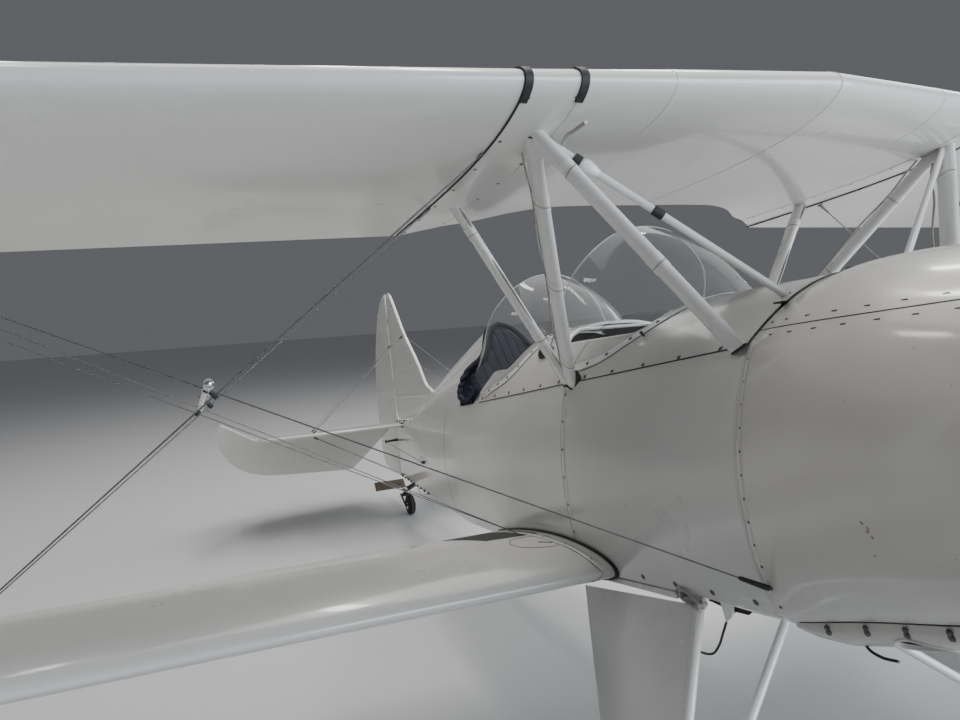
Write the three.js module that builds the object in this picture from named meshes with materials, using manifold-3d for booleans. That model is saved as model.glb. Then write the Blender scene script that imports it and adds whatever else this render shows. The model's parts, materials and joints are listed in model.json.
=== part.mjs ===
// A two-seat, open-cockpit biplane with a swept upper wing, parked on its three wheels.
// Body axes in millimetres: x to port, y aft from the firewall, z up from the upper longeron.
import * as THREE from 'three';
import Module from 'manifold-3d';
import { mergeVertices } from 'three/addons/utils/BufferGeometryUtils.js';

const wasm = await Module();
wasm.setup();

// Driving dimensions
const seam = 0.3;
const longeronSlope = -0.06;
const fuselageEndY = 4400;
const tubSplitY = 860;
const tubEndY = 2250;
const wallThickness = 22;
const deckThickness = 12;
const firewallThickness = 8;

const upperWing = {
  noseY: -31, sweep: 0.1267, chord: 1129, noseZ: 609, incidence: 0.0749, thickness: 0.12,
  camber: 0.012, dihedral: 0.0107, centreHalf: 650, jointWidth: 140, semiSpan: 3640,
};
const lowerWing = {
  noseY: 649, sweep: 0, chord: 954.5, noseZ: -631, incidence: 0.022, thickness: 0.118,
  camber: 0.012, dihedral: 0.0123, rootX: 330, semiSpan: 3480,
};
const aileron = { innerX: 1650, outerX: 3020, hingeShare: 0.76, gap: 9, travel: 25 };
const padX = 2300;

const cabane = {
  frontTop: [710, 240, 570], rearTop: [710, 820, 548],
  firewallFoot: [350, 24, -12], rearFoot: [352, 840, -72], braceFoot: [165, 36, 96],
  chord: 58, thickness: 26, braceRadius: 14,
};

const gear = {
  frontHinge: [335, 300, -650], rearHinge: [335, 925, -712],
  bottomFront: [745, 0, -1250], bottomRear: [745, 130, -1250],
  axleX: 850, axleY: 55, axleZ: -1250, axleRadius: 19, plateTop: 42, plateBottom: 46,
};
const mainWheel = { radius: 205, width: 150, rimRadius: 84 };
const tailWheel = { axleY: 4352, axleZ: -903, radius: 76, width: 52, pivotY: 4462, pivotZ: -806 };

const finHinge = { y: 4476 };
const elevatorHinge = { y: 4430, z: -262, droop: 34 };
const tailThickness = 34;

const thrustZ = -235;
const propellerY = -1095;
const propellerRadius = 950;
const propellerTilt = 25;
const spinnerRadius = 152;
const spinnerBackY = -1036;

// Nose-up attitude that puts the main wheels and the tail wheel on one floor, each on a flat
const wheelSegments = 24;
const standing = (radius) => radius * Math.cos(Math.PI / wheelSegments);
const wheelBaseY = tailWheel.axleY - gear.axleY;
const wheelBaseZ = gear.axleZ - tailWheel.axleZ;
const wheelBase = Math.hypot(wheelBaseY, wheelBaseZ);
const noseUp = Math.asin(standing(mainWheel.radius - tailWheel.radius) / wheelBase)
  - Math.atan2(wheelBaseZ, wheelBaseY);

// Finishes
const finish = (color, roughness, metalness = 0) =>
  new THREE.MeshStandardMaterial({ color, roughness, metalness });
const paint = finish(0xdddbd3, 0.25);
const clear = finish(0xc9d2d4, 0.1);
const navy = finish(0x1b2138, 0.8);
const steel = finish(0xa9abad, 0.35, 0.9);
const rubber = finish(0x1b1b1c, 0.85);
const darkMetal = finish(0x3a3b3d, 0.5, 0.6);
const cockpitGrey = finish(0x4a4c4f, 0.6);

const airframe = new THREE.Group();
airframe.rotation.x = -noseUp;
const ground = new THREE.Vector3(0, gear.axleY, gear.axleZ).applyEuler(airframe.rotation);
airframe.position.set(0, 0, standing(mainWheel.radius) - ground.z);
const whole = new THREE.Group();
whole.add(airframe);

// Solids and geometry
const lerp = (a, b, t) => a + (b - a) * t;
const radians = (degrees) => degrees * Math.PI / 180;
const point = (p) => new THREE.Vector3(p[0], p[1], p[2]);
const mirrored = (p, side) => [p[0] * side, p[1], p[2]];

// Turns every face round when the body is inside out, as mirrored profiles are
function facingOut(positions, index) {
  const corner = (i) => new THREE.Vector3().fromArray(positions, index[i] * 3);
  let volume = 0;
  for (let i = 0; i < index.length; i += 3) {
    volume += corner(i).dot(corner(i + 1).cross(corner(i + 2)));
  }
  if (volume >= 0) return new Uint32Array(index);
  const flipped = new Uint32Array(index);
  for (let i = 0; i < flipped.length; i += 3) {
    [flipped[i], flipped[i + 1]] = [flipped[i + 1], flipped[i]];
  }
  return flipped;
}

function toSolid(geometry) {
  const bare = geometry.clone();
  bare.deleteAttribute('normal');
  bare.deleteAttribute('uv');
  const merged = mergeVertices(bare, 1e-3);
  const vertProperties = new Float32Array(merged.attributes.position.array);
  const triVerts = facingOut(vertProperties, merged.index.array);
  return new wasm.Manifold(new wasm.Mesh({ numProp: 3, vertProperties, triVerts }));
}

function toGeometry(solid) {
  const mesh = solid.getMesh();
  const geometry = new THREE.BufferGeometry();
  geometry.setAttribute('position', new THREE.BufferAttribute(mesh.vertProperties, 3));
  geometry.setIndex(new THREE.BufferAttribute(mesh.triVerts, 1));
  geometry.computeVertexNormals();
  return geometry;
}

// Joins rings of equal length into one closed body with fans at both ends
function loft(rings) {
  const count = rings[0].length;
  const positions = [];
  const index = [];
  rings.forEach((ring) => ring.forEach((p) => positions.push(p.x, p.y, p.z)));
  for (let r = 0; r < rings.length - 1; r += 1) {
    for (let i = 0; i < count; i += 1) {
      const a = r * count + i;
      const b = r * count + (i + 1) % count;
      index.push(a, b, b + count, a, b + count, a + count);
    }
  }
  const cap = (ring, offset, flip) => {
    const centre = new THREE.Vector3();
    ring.forEach((p) => centre.addScaledVector(p, 1 / count));
    const hub = positions.length / 3;
    positions.push(centre.x, centre.y, centre.z);
    for (let i = 0; i < count; i += 1) {
      const a = offset + i;
      const b = offset + (i + 1) % count;
      index.push(...(flip ? [hub, b, a] : [hub, a, b]));
    }
  };
  cap(rings[0], 0, true);
  cap(rings[rings.length - 1], (rings.length - 1) * count, false);
  const geometry = new THREE.BufferGeometry();
  geometry.setAttribute('position', new THREE.Float32BufferAttribute(positions, 3));
  geometry.setIndex(index);
  return geometry;
}

const loftSolid = (rings) => toSolid(loft(rings));
const joined = (solids) => solids.reduce((sum, next) => sum.add(next));
const moved = (solid, x, y, z) => solid.translate([x, y, z]);

// Cuts a solid back from its neighbours, each shifted towards it by the seam's width
function clearOf(solid, neighbours, dx, dy, dz) {
  return neighbours.reduce(
    (rest, neighbour) => rest.subtract(moved(neighbour, dx * seam, dy * seam, dz * seam)), solid);
}

function box(x0, x1, y0, y1, z0, z1) {
  const geometry = new THREE.BoxGeometry(x1 - x0, y1 - y0, z1 - z0);
  geometry.translate((x0 + x1) / 2, (y0 + y1) / 2, (z0 + z1) / 2);
  return toSolid(geometry);
}

// Round bar from a to b, with radiusB at its far end
function bar(a, b, radiusA, radiusB = radiusA, sides = 12) {
  const start = point(a);
  const along = point(b).sub(start);
  const geometry = new THREE.CylinderGeometry(radiusB, radiusA, along.length(), sides);
  geometry.translate(0, along.length() / 2, 0);
  const turn = new THREE.Quaternion()
    .setFromUnitVectors(new THREE.Vector3(0, 1, 0), along.normalize());
  geometry.applyQuaternion(turn);
  geometry.translate(start.x, start.y, start.z);
  return toSolid(geometry);
}

// Faired strut from a to b: an oval section with its long axis as near fore and aft as it goes
function fairedStrut(a, b, chord, thickness, sides = 10) {
  const along = point(b).sub(point(a)).normalize();
  const aft = new THREE.Vector3(0, 1, 0);
  const chordwise = aft.clone().addScaledVector(along, -aft.dot(along)).normalize();
  const across = along.clone().cross(chordwise);
  const ring = (centre) => Array.from({ length: sides }, (_, i) => {
    const angle = i * 2 * Math.PI / sides;
    return point(centre)
      .addScaledVector(chordwise, Math.cos(angle) * chord / 2)
      .addScaledVector(across, Math.sin(angle) * thickness / 2);
  });
  return loftSolid([ring(a), ring(b)]);
}

// Body turned about the x axis through (y, z) = (0, 0), from a profile of [radius, x] pairs
function turned(profile, segments = wheelSegments) {
  const geometry = new THREE.LatheGeometry(
    profile.map(([radius, x]) => new THREE.Vector2(radius, x)), segments);
  geometry.rotateZ(-Math.PI / 2);
  return toSolid(geometry);
}

// Plate of the given outline in the (y, z) plane, centred on x = 0, with bevelled edges
function uprightPlate(outline, thickness, bevel) {
  const shape = new THREE.Shape(outline.map(([y, z]) => new THREE.Vector2(y, z)));
  return uprightShape(shape, thickness, bevel);
}

function uprightShape(shape, thickness, bevel) {
  const geometry = new THREE.ExtrudeGeometry(shape, {
    depth: thickness - 2 * bevel, bevelEnabled: bevel > 0, bevelThickness: bevel,
    bevelSize: bevel, bevelOffset: -bevel, bevelSegments: 1, curveSegments: 5,
  });
  geometry.translate(0, 0, bevel - thickness / 2);
  geometry.applyMatrix4(new THREE.Matrix4().set(0, 0, 1, 0, 1, 0, 0, 0, 0, 1, 0, 0, 0, 0, 0, 1));
  return toSolid(geometry);
}

// Plate of the given (x, y) shape, from z0 up to z1
function flatPlate(shape, z0, z1, bevel = 0) {
  const geometry = new THREE.ExtrudeGeometry(shape, {
    depth: z1 - z0 - 2 * bevel, bevelEnabled: bevel > 0, bevelThickness: bevel,
    bevelSize: bevel, bevelOffset: -bevel, bevelSegments: 1, curveSegments: 5,
  });
  geometry.translate(0, 0, z0 + bevel);
  return toSolid(geometry);
}

function roundedRectangle(x0, y0, x1, y1, r) {
  const shape = new THREE.Shape();
  shape.moveTo(x0 + r, y0);
  shape.lineTo(x1 - r, y0);
  shape.absarc(x1 - r, y0 + r, r, -Math.PI / 2, 0);
  shape.lineTo(x1, y1 - r);
  shape.absarc(x1 - r, y1 - r, r, 0, Math.PI / 2);
  shape.lineTo(x0 + r, y1);
  shape.absarc(x0 + r, y1 - r, r, Math.PI / 2, Math.PI);
  shape.lineTo(x0, y0 + r);
  shape.absarc(x0 + r, y0 + r, r, Math.PI, 1.5 * Math.PI);
  return shape;
}

// The body itself, without the slivers that a cut along a shared face can leave
const mainPiece = (solid) => solid.decompose().sort((a, b) => b.volume() - a.volume())[0];

function add(name, solid, material, parent = airframe) {
  const mesh = new THREE.Mesh(toGeometry(mainPiece(solid)), material);
  mesh.name = name;
  parent.add(mesh);
  return mesh;
}

// Row of a table at position y, blended between its neighbours
function rowAt(table, y) {
  const last = table.length - 1;
  let i = 0;
  while (i < last - 1 && y > table[i + 1].y) i += 1;
  const a = table[i];
  const b = table[i + 1];
  const t = THREE.MathUtils.clamp((y - a.y) / (b.y - a.y), 0, 1);
  return Object.fromEntries(Object.keys(a).map((key) => [key, lerp(a[key], b[key], t)]));
}

const longeronZ = (y) => longeronSlope * y;

// Fuselage below the longerons: half widths at longeron, bulge and lower corner
const fuselageSections = [
  { y: 0, top: 346, bulge: 420, low: 350, cornerZ: -600, bellyZ: -652 },
  { y: 860, top: 360, bulge: 408, low: 360, cornerZ: -664, bellyZ: -706 },
  { y: 2000, top: 352, bulge: 392, low: 345, cornerZ: -668, bellyZ: -706 },
  { y: 3200, top: 200, bulge: 222, low: 190, cornerZ: -670, bellyZ: -698 },
  { y: 4400, top: 32, bulge: 36, low: 32, cornerZ: -674, bellyZ: -684 },
];

const hullSteps = 5;

// Outline below the longerons, from the port longeron round the belly to the starboard one
function hullSide(y, inset = 0) {
  const s = rowAt(fuselageSections, y);
  const topZ = longeronZ(y);
  const start = [s.top - inset, topZ];
  const end = [s.low - inset, s.cornerZ + inset * 0.6];
  const middle = [s.bulge - inset, (topZ + s.cornerZ) / 2];
  const control = [0, 1].map((k) => 2 * middle[k] - (start[k] + end[k]) / 2);
  const half = [];
  for (let i = 0; i <= hullSteps; i += 1) {
    const t = i / hullSteps;
    half.push([0, 1].map((k) =>
      (1 - t) ** 2 * start[k] + 2 * t * (1 - t) * control[k] + t * t * end[k]));
  }
  const belly = s.bellyZ + inset;
  half.push([(s.low - inset) * 0.86, lerp(end[1], belly, 0.62)]);
  half.push([(s.low - inset) * 0.5, lerp(end[1], belly, 0.92)]);
  const other = half.slice().reverse().map(([x, z]) => [-x, z]);
  return [...half, [0, belly], ...other];
}

// Deck above the longerons: crown height and fullness of the arch
const deckSections = [
  { y: 0, crownZ: 156, power: 1.9 },
  { y: 470, crownZ: 166, power: 2.2 },
  { y: 860, crownZ: 164, power: 2.8 },
  { y: 1750, crownZ: 158, power: 3 },
];
const deckSteps = 6;

// Arch from the starboard edge over the crown to the port edge
function arch(halfWidth, baseZ, crownZ, power) {
  const points = [];
  for (let i = -deckSteps; i <= deckSteps; i += 1) {
    const u = Math.sin(i / deckSteps * Math.PI / 2);
    points.push([u * halfWidth, baseZ + (crownZ - baseZ) * (1 - Math.abs(u) ** power)]);
  }
  return points;
}

const place = (outline, y) => outline.map(([x, z]) => new THREE.Vector3(x, y, z));

// Ring stations from y0 to y1, the same for every shell so that they lie on each other
const breakYs = [0, 470, 860, 1310, 2000, 3200];
const stations = (y0, y1) => [y0, ...breakYs.filter((y) => y > y0 + 1 && y < y1 - 1), y1];

function deckOutline(y, inset = 0, drop = 0) {
  const half = rowAt(fuselageSections, y).top - inset;
  const row = rowAt(deckSections, y);
  const base = longeronZ(y) + seam;
  const vault = arch(half, base, row.crownZ - inset, row.power);
  return drop === 0 ? vault : [[-half, base - drop], ...vault, [half, base - drop]];
}

const hullSolid = (y0, y1) => loftSolid(stations(y0, y1).map((y) => place(hullSide(y), y)));

function fuselageTub(y0, y1) {
  const opened = (y) => {
    const inner = hullSide(y, wallThickness);
    const edge = inner[0][0];
    return place([[edge, 60], ...inner, [-edge, 60]], y);
  };
  const hollow = loftSolid(stations(y0 - 5, y1 + 5).map(opened));
  return hullSolid(y0, y1).subtract(hollow);
}

// Fuselage
const forwardStartY = firewallThickness + seam;
const forwardTub = fuselageTub(forwardStartY, tubSplitY - seam);
const middleTub = fuselageTub(tubSplitY, tubEndY);
const aftHull = hullSolid(tubEndY + seam, fuselageEndY);

const frontCockpit = { y0: 520, y1: 1080, half: 250, corner: 90 };
const rearCockpit = { y0: 1420, y1: 1900, half: 285, corner: 100 };
const openingCutter = (c) => flatPlate(
  roundedRectangle(-c.half, c.y0, c.half, c.y1, c.corner), -90, 400);
const cabinSpace = (() => {
  const inset = wallThickness + seam;
  const ys = stations(forwardStartY + seam, tubEndY - seam);
  const lower = loftSolid(ys.map((y) => {
    const inner = hullSide(y, inset);
    return place([[inner[0][0], longeronZ(y) + 1], ...inner, [-inner[0][0], longeronZ(y) + 1]], y);
  }));
  const upper = loftSolid(ys.map((y) => place(deckOutline(y, deckThickness + 2 * seam, 30), y)));
  return upper.subtract(moved(hullSolid(-60, tubEndY + 60), 0, 0, 2 * seam)).add(lower);
})();
const cockpitCutters = openingCutter(frontCockpit).add(openingCutter(rearCockpit));

const deckSolid = (y0, y1) => loftSolid(stations(y0, y1).map((y) => place(deckOutline(y), y)));

function deckShell(y0, y1) {
  const inner = loftSolid(stations(y0 - 5, y1 + 5).map((y) =>
    place(deckOutline(y, deckThickness, 30), y)));
  return deckSolid(y0, y1).subtract(inner).subtract(cockpitCutters);
}

const deckEndY = 1760;
const frontDeck = deckShell(forwardStartY, tubSplitY - seam);
const sillCut = uprightPlate(
  [[1600, 300], [1600, 70], [1680, -20], [1745, -82], [1800, -140], [1800, 300]], 900, 0);
const rearDeck = deckShell(tubSplitY, deckEndY).subtract(sillCut);

// Fairing behind the rear cockpit, its front face leaning aft: a low rounded deck with a
// narrow headrest hump along its middle
const turtleSections = [
  { y: 1960, deckRise: 235, humpRise: 180, humpHalf: 162, slant: 0.75 },
  { y: 2300, deckRise: 200, humpRise: 155, humpHalf: 158, slant: 0.75 },
  { y: 3000, deckRise: 125, humpRise: 114, humpHalf: 122, slant: 0.4 },
  { y: 3560, deckRise: 30, humpRise: 105, humpHalf: 70, slant: 0 },
];
const turtleShares = [0, 0.09, 0.18, 0.26, 0.34, 0.42, 0.5, 0.62, 0.76, 0.88, 0.96, 1];
const deckPower = 4;
const humpPower = 1.4;
function turtleRing(row, inset = 0) {
  const half = rowAt(fuselageSections, row.y).top - 2 - inset;
  const base = longeronZ(row.y) + seam;
  const shares = [...turtleShares.slice(1).reverse().map((u) => -u), ...turtleShares];
  return shares.map((u) => {
    const hump = Math.max(0, 1 - (u * half / (row.humpHalf - inset)) ** 2);
    const rise = (row.deckRise - inset) * (1 - Math.abs(u) ** deckPower)
      + row.humpRise * hump ** humpPower;
    const y = row.y + row.slant * rise;
    return new THREE.Vector3(u * half, y, base + rise + longeronSlope * (y - row.y));
  });
}
const turtledeck = loftSolid(turtleSections.map((row) => turtleRing(row)));

const firewallOutline = (inset) => {
  const deck = deckOutline(0, inset).slice(1, -1);
  return [...hullSide(0, inset), ...deck];
};
const firewall = loftSolid([0, firewallThickness].map((y) => place(firewallOutline(4), y)));

// Cowling: aft edge on the fuselage outline, then ovals about the thrust line
const cowlSections = [
  { y: -160, half: 438, topZ: 158, bottomZ: -658, power: 2.6 },
  { y: -420, half: 452, topZ: 146, bottomZ: -600, power: 2.5 },
  { y: -720, half: 432, topZ: 96, bottomZ: -538, power: 2.35 },
  { y: -900, half: 376, topZ: 18, bottomZ: -476, power: 2.2 },
  { y: -985, half: 318, topZ: -50, bottomZ: -422, power: 2.1 },
  { y: -1020, half: 268, topZ: -90, bottomZ: -384, power: 2.1 },
];
const cowlThickness = 9;
const cowlCentreZ = -245;

// Rings that the inner face of the cowling does without
const plainRings = [0, 4];

function cowlBody(inset, aftY, noseTrim) {
  const aft = firewallOutline(inset);
  const angles = aft.map(([x, z]) => Math.atan2(z - cowlCentreZ, x));
  const rings = [place(aft, aftY)];
  cowlSections.forEach((row, k) => {
    const last = k === cowlSections.length - 1;
    if (inset > 0 && plainRings.includes(k)) return;
    const y = last ? row.y + noseTrim : row.y + inset * (k > 2 ? 1 : 0);
    rings.push(angles.map((angle) => {
      const a = row.half - inset;
      const reach = angle > 0 ? row.topZ - cowlCentreZ : cowlCentreZ - row.bottomZ;
      const b = reach - inset;
      const c = Math.abs(Math.cos(angle) / a) ** row.power;
      const s = Math.abs(Math.sin(angle) / b) ** row.power;
      const r = (c + s) ** (-1 / row.power);
      return new THREE.Vector3(r * Math.cos(angle), y, cowlCentreZ + r * Math.sin(angle));
    }));
  });
  return loftSolid(rings);
}

const inlet = { innerX: 118, outerX: 238, bottomZ: -292, topZ: -178, corner: 50 };
const inletCutter = [1, -1].map((side) => {
  const xs = [inlet.innerX * side, inlet.outerX * side].sort((a, b) => a - b);
  const shape = roundedRectangle(xs[0], inlet.bottomZ, xs[1], inlet.topZ, inlet.corner);
  const geometry = new THREE.ExtrudeGeometry(
    shape, { depth: 200, bevelEnabled: false, curveSegments: 4 });
  geometry.rotateX(Math.PI / 2);
  geometry.translate(0, -900, 0);
  return toSolid(geometry);
});
const shaftHole = bar([0, -1100, thrustZ], [0, -900, thrustZ], 90, 90, 24);
const outlet = { x: -275, y: -295, halfX: 34, halfY: 63 };
const outletCutter = (() => {
  const geometry = new THREE.CylinderGeometry(1, 1, 400, 20);
  geometry.rotateX(Math.PI / 2);
  geometry.scale(outlet.halfX, outlet.halfY, 1);
  geometry.translate(outlet.x, outlet.y, -560);
  return toSolid(geometry);
})();
const cowlShell = [shaftHole, outletCutter, ...inletCutter].reduce(
  (shell, cutter) => shell.subtract(cutter),
  cowlBody(0, -seam, 0).subtract(cowlBody(cowlThickness, 5, 14)));
const cowlTopZ = 30;
const bellyPan = { aftZ: -634, slope: -0.24 };
const aboveSplit = box(-600, 600, -1200, 100, cowlTopZ, 400);
const panCutter = (shift) => uprightPlate([
  [100, bellyPan.aftZ + 100 * bellyPan.slope + shift],
  [-560, bellyPan.aftZ - 560 * bellyPan.slope + shift], [-560, -900], [100, -900]], 1200, 0);

// Engine block on its mount tubes, with the shaft out to the propeller
const mountTubes = [[-250, -380], [250, -380], [-250, -90], [250, -90]];
const engine = joined([
  box(-375, 375, -700, -300, -360, -130),
  box(-130, 130, -860, -200, -420, -80),
  bar([0, -840, thrustZ], [0, spinnerBackY + seam, thrustZ], 60, 60, 16),
  ...mountTubes.map(([x, z]) => bar([x, 5, z], [x * 0.4, -260, z], 13, 13, 8)),
]).subtract(box(-400, 400, -seam, 60, -700, 200));

// Wings
function airfoil(chord, thickness, camber, steps = 9) {
  const surface = (x, side) => {
    const t = 5 * thickness * (0.2969 * Math.sqrt(x) - 0.126 * x - 0.3516 * x * x
      + 0.2843 * x ** 3 - 0.1015 * x ** 4);
    return [x * chord, (4 * camber * x * (1 - x) + side * t) * chord];
  };
  const points = [];
  for (let i = 0; i <= steps; i += 1) {
    points.push(surface((1 + Math.cos(i / steps * Math.PI)) / 2, 1));
  }
  for (let i = 1; i <= steps; i += 1) {
    points.push(surface((1 - Math.cos(i / steps * Math.PI)) / 2, -1));
  }
  return points;
}

// Section ring of a wing at span station x, with its chord cut or narrowed towards the tip
function wingRing(wing, x, chord = wing.chord, noseShift = 0, tipScale = 1) {
  const reach = Math.abs(x);
  const noseY = wing.noseY + wing.sweep * reach + noseShift;
  const noseZ = wing.noseZ + (wing.dihedral ?? 0) * reach;
  const thickness = wing.thickness * wing.chord / chord * tipScale;
  return airfoil(chord, thickness, wing.camber).map(([along, up]) =>
    new THREE.Vector3(x, noseY + along, noseZ + up - wing.incidence * along));
}

// Wing tip: distance in from the tip, share of the chord, and share of the thickness
const tipRings = [
  { inset: 420, chord: 1, shift: 0, scale: 1 },
  { inset: 200, chord: 0.95, shift: 0.035, scale: 0.9 },
  { inset: 80, chord: 0.8, shift: 0.12, scale: 0.62 },
  { inset: 20, chord: 0.6, shift: 0.22, scale: 0.32 },
  { inset: 0, chord: 0.44, shift: 0.3, scale: 0.12 },
];

function wingPanel(wing, rootX, side) {
  const rings = [wingRing(wing, side * rootX)];
  tipRings.forEach((row) => rings.push(wingRing(
    wing, side * (wing.semiSpan - row.inset), wing.chord * row.chord,
    wing.chord * row.shift, row.scale * row.chord)));
  return loftSolid(rings);
}

const jointTailY = 1084;
const centreChords = [
  { x: 0, tail: 849 }, { x: 210, tail: 862 }, { x: 350, tail: 884 }, { x: 450, tail: 936 },
  { x: 570, tail: 1038 }, { x: upperWing.centreHalf - seam, tail: jointTailY },
];
const centreRings = centreChords.map(({ x, tail }) =>
  ({ x, chord: tail - upperWing.noseY - upperWing.sweep * x }));
const centreSection = loftSolid([
  ...centreRings.slice(1).reverse().map(({ x, chord }) => wingRing(upperWing, -x, chord)),
  ...centreRings.map(({ x, chord }) => wingRing(upperWing, x, chord))]);
add('upper_center_section', centreSection, paint);

const jointRootChord = jointTailY - upperWing.noseY - upperWing.sweep * upperWing.centreHalf;
const upperRootX = upperWing.centreHalf + upperWing.jointWidth;
const upperSurfaces = {};
const lowerPanels = {};
const hullBlock = hullSolid(-60, 2000);
const sides = [['left', 1], ['right', -1]];

const aileronHingeY = lowerWing.noseY + lowerWing.chord * aileron.hingeShare;

for (const [sideName, side] of sides) {
  const joint = loftSolid([
    wingRing(upperWing, side * upperWing.centreHalf, jointRootChord),
    wingRing(upperWing, side * (upperRootX - seam)),
  ]);
  const panel = wingPanel(upperWing, upperRootX, side);
  add(`wing_joint_${sideName}`, joint, paint);
  add(`upper_wing_${sideName}`, panel, paint);
  upperSurfaces[sideName] = [centreSection, joint, panel];

  const bay = box(
    Math.min(side * aileron.innerX, side * aileron.outerX),
    Math.max(side * aileron.innerX, side * aileron.outerX),
    aileronHingeY - 24 - aileron.gap, 1800, -900, -300);
  const padEnds = [side * (padX - 40), side * (padX + 40)].sort((a, b) => a - b);
  const pad = box(padEnds[0], padEnds[1], 880, 940, -674, -600);
  lowerPanels[sideName] = wingPanel(lowerWing, lowerWing.rootX, side)
    .subtract(bay).add(pad).subtract(moved(hullBlock, side * seam, 0, -seam))
    .subtract(moved(hullBlock, side * seam, 0, seam));
}

// Hinge eyes on the fixed side and pins across notches in the moving side
const pinRadius = 5;
const eyeOuter = 13;
const pinSides = 12;
const eyeInner = (pinRadius + seam) / Math.cos(Math.PI / pinSides);
const notchHalf = 16;

// Eye round an axis through the centre along 'x' or 'z', with an arm back to the fixed part
function hingeEye(centre, axis, armY) {
  const shape = new THREE.Shape();
  shape.absarc(0, 0, eyeOuter, 0, 2 * Math.PI);
  const hole = new THREE.Path();
  hole.absarc(0, 0, eyeInner, 0, 2 * Math.PI);
  shape.holes.push(hole);
  const geometry = new THREE.ExtrudeGeometry(shape, {
    depth: 8, bevelEnabled: false, curveSegments: pinSides / 2 });
  geometry.translate(0, 0, -4);
  if (axis === 'x') geometry.rotateY(Math.PI / 2);
  geometry.translate(...centre);
  const [x, y, z] = centre;
  const armEnd = y - eyeInner - 3;
  const arm = axis === 'x'
    ? box(x - 4, x + 4, armY, armEnd, z - 8, z + 8)
    : box(x - 8, x + 8, armY, armEnd, z - 4, z + 4);
  return toSolid(geometry).add(arm);
}

// Ailerons
const hingeZ = (x) => lowerWing.noseZ + lowerWing.dihedral * Math.abs(x)
  - lowerWing.incidence * lowerWing.chord * aileron.hingeShare + 6;
const aileronHinges = [1880, 2790];
const aileronNose = 23;

function aileronRing(x) {
  const z = hingeZ(x);
  const ring = [];
  for (let i = 0; i <= 8; i += 1) {
    const angle = Math.PI / 2 + i / 8 * Math.PI;
    ring.push([aileronHingeY + aileronNose * Math.cos(angle), z + aileronNose * Math.sin(angle)]);
  }
  const tailY = lowerWing.noseY + lowerWing.chord;
  const tailZ = lowerWing.noseZ + lowerWing.dihedral * Math.abs(x)
    - lowerWing.incidence * lowerWing.chord;
  ring.push([tailY, tailZ - 3], [tailY, tailZ + 3]);
  return ring.map(([ry, rz]) => new THREE.Vector3(x, ry, rz));
}

for (const [sideName, side] of sides) {
  const ends = [aileron.innerX + aileron.gap, aileron.outerX - aileron.gap].map((x) => x * side);
  let flap = loftSolid(ends.map(aileronRing));
  let wing = lowerPanels[sideName];
  for (const hingeX of aileronHinges) {
    const x = hingeX * side;
    const z = hingeZ(x);
    flap = flap.subtract(box(x - notchHalf, x + notchHalf, aileronHingeY - 60,
      aileronHingeY + eyeOuter + 8, z - 60, z + 60));
    flap = flap.add(bar(
      [x - notchHalf - 5, aileronHingeY, z], [x + notchHalf + 5, aileronHingeY, z],
      pinRadius, pinRadius, pinSides));
    wing = wing.add(hingeEye([x, aileronHingeY, z], 'x', aileronHingeY - 45));
  }
  add(`aileron_${sideName}`, flap, paint);
  lowerPanels[sideName] = wing;
  add(`lower_wing_${sideName}`, wing, paint);
}

// Fuselage nodes
add('firewall', firewall, steel);
add('forward_fuselage', forwardTub, paint);
add('middle_fuselage', middleTub, paint);
add('front_deck', frontDeck, paint);
add('rear_deck', rearDeck, paint);
add('turtledeck', turtledeck, paint);
add('cowl_top', cowlShell.intersect(aboveSplit), paint);
const belowSplit = cowlShell.subtract(box(-600, 600, -1200, 100, cowlTopZ - seam, 400));
add('cowl_main', belowSplit.subtract(panCutter(0)), paint);
add('cowl_belly', belowSplit.intersect(panCutter(-seam)), paint);
add('engine', engine, darkMetal);

// Cockpit: floor, controls, panels, seats, coaming
const floorZ = -585;
const floor = joined([
  box(-400, 400, 140, 2160, floorZ - 12, floorZ),
  ...[500, 1250, 2100].flatMap((y) => [-230, 210].map((x) =>
    box(x, x + 20, y - 15, y + 15, floorZ - 130, floorZ - 6))),
]).intersect(cabinSpace);
add('cockpit_floor', floor, cockpitGrey);

const stickYs = [560, 1440];
const controls = joined([
  bar([0, 480, floorZ + 40], [0, 1520, floorZ + 40], 16, 16, 8),
  ...[490, 1510].map((y) => box(-30, 30, y - 12, y + 12, floorZ + seam, floorZ + 50)),
  ...stickYs.map((y) => bar([0, y, floorZ + 40], [0, y + 60, floorZ + 400], 12, 12, 8)),
  ...stickYs.map((y) => bar([0, y + 60, floorZ + 395], [0, y + 82, floorZ + 510], 17, 15, 8)),
]);
add('control_sticks', controls, darkMetal);

const frontPanelY = 500;
const rearPanelY = 1400;
for (const [name, y] of [['front_panel', frontPanelY], ['rear_panel', rearPanelY]]) {
  const plate = box(-400, 400, y, y + 6, longeronZ(y) - 130, 300).intersect(cabinSpace);
  add(name, plate, cockpitGrey);
}

function seat(panY, backTopZ, backTopY) {
  const half = 225;
  const panZ = floorZ + 170;
  const profile = [
    [panY, floorZ + seam], [panY + 400, floorZ + seam], [backTopY + 70, backTopZ],
    [backTopY, backTopZ], [panY + 350, panZ], [panY, panZ],
  ];
  const tunnel = box(-45, 45, panY - 10, panY + 600, floorZ - 10, floorZ + 75);
  return uprightPlate(profile, half * 2, 0).subtract(tunnel).intersect(cabinSpace);
}
add('front_seat', seat(690, -70, 1085), navy);
add('rear_seat', seat(1640, -150, 2030), navy);

const headPad = loftSolid([-42, -seam].map((back) =>
  turtleRing(turtleSections[0], 16).map((p) => new THREE.Vector3(p.x, p.y + back, p.z + 3))));
add('rear_headrest', headPad, navy);

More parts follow.
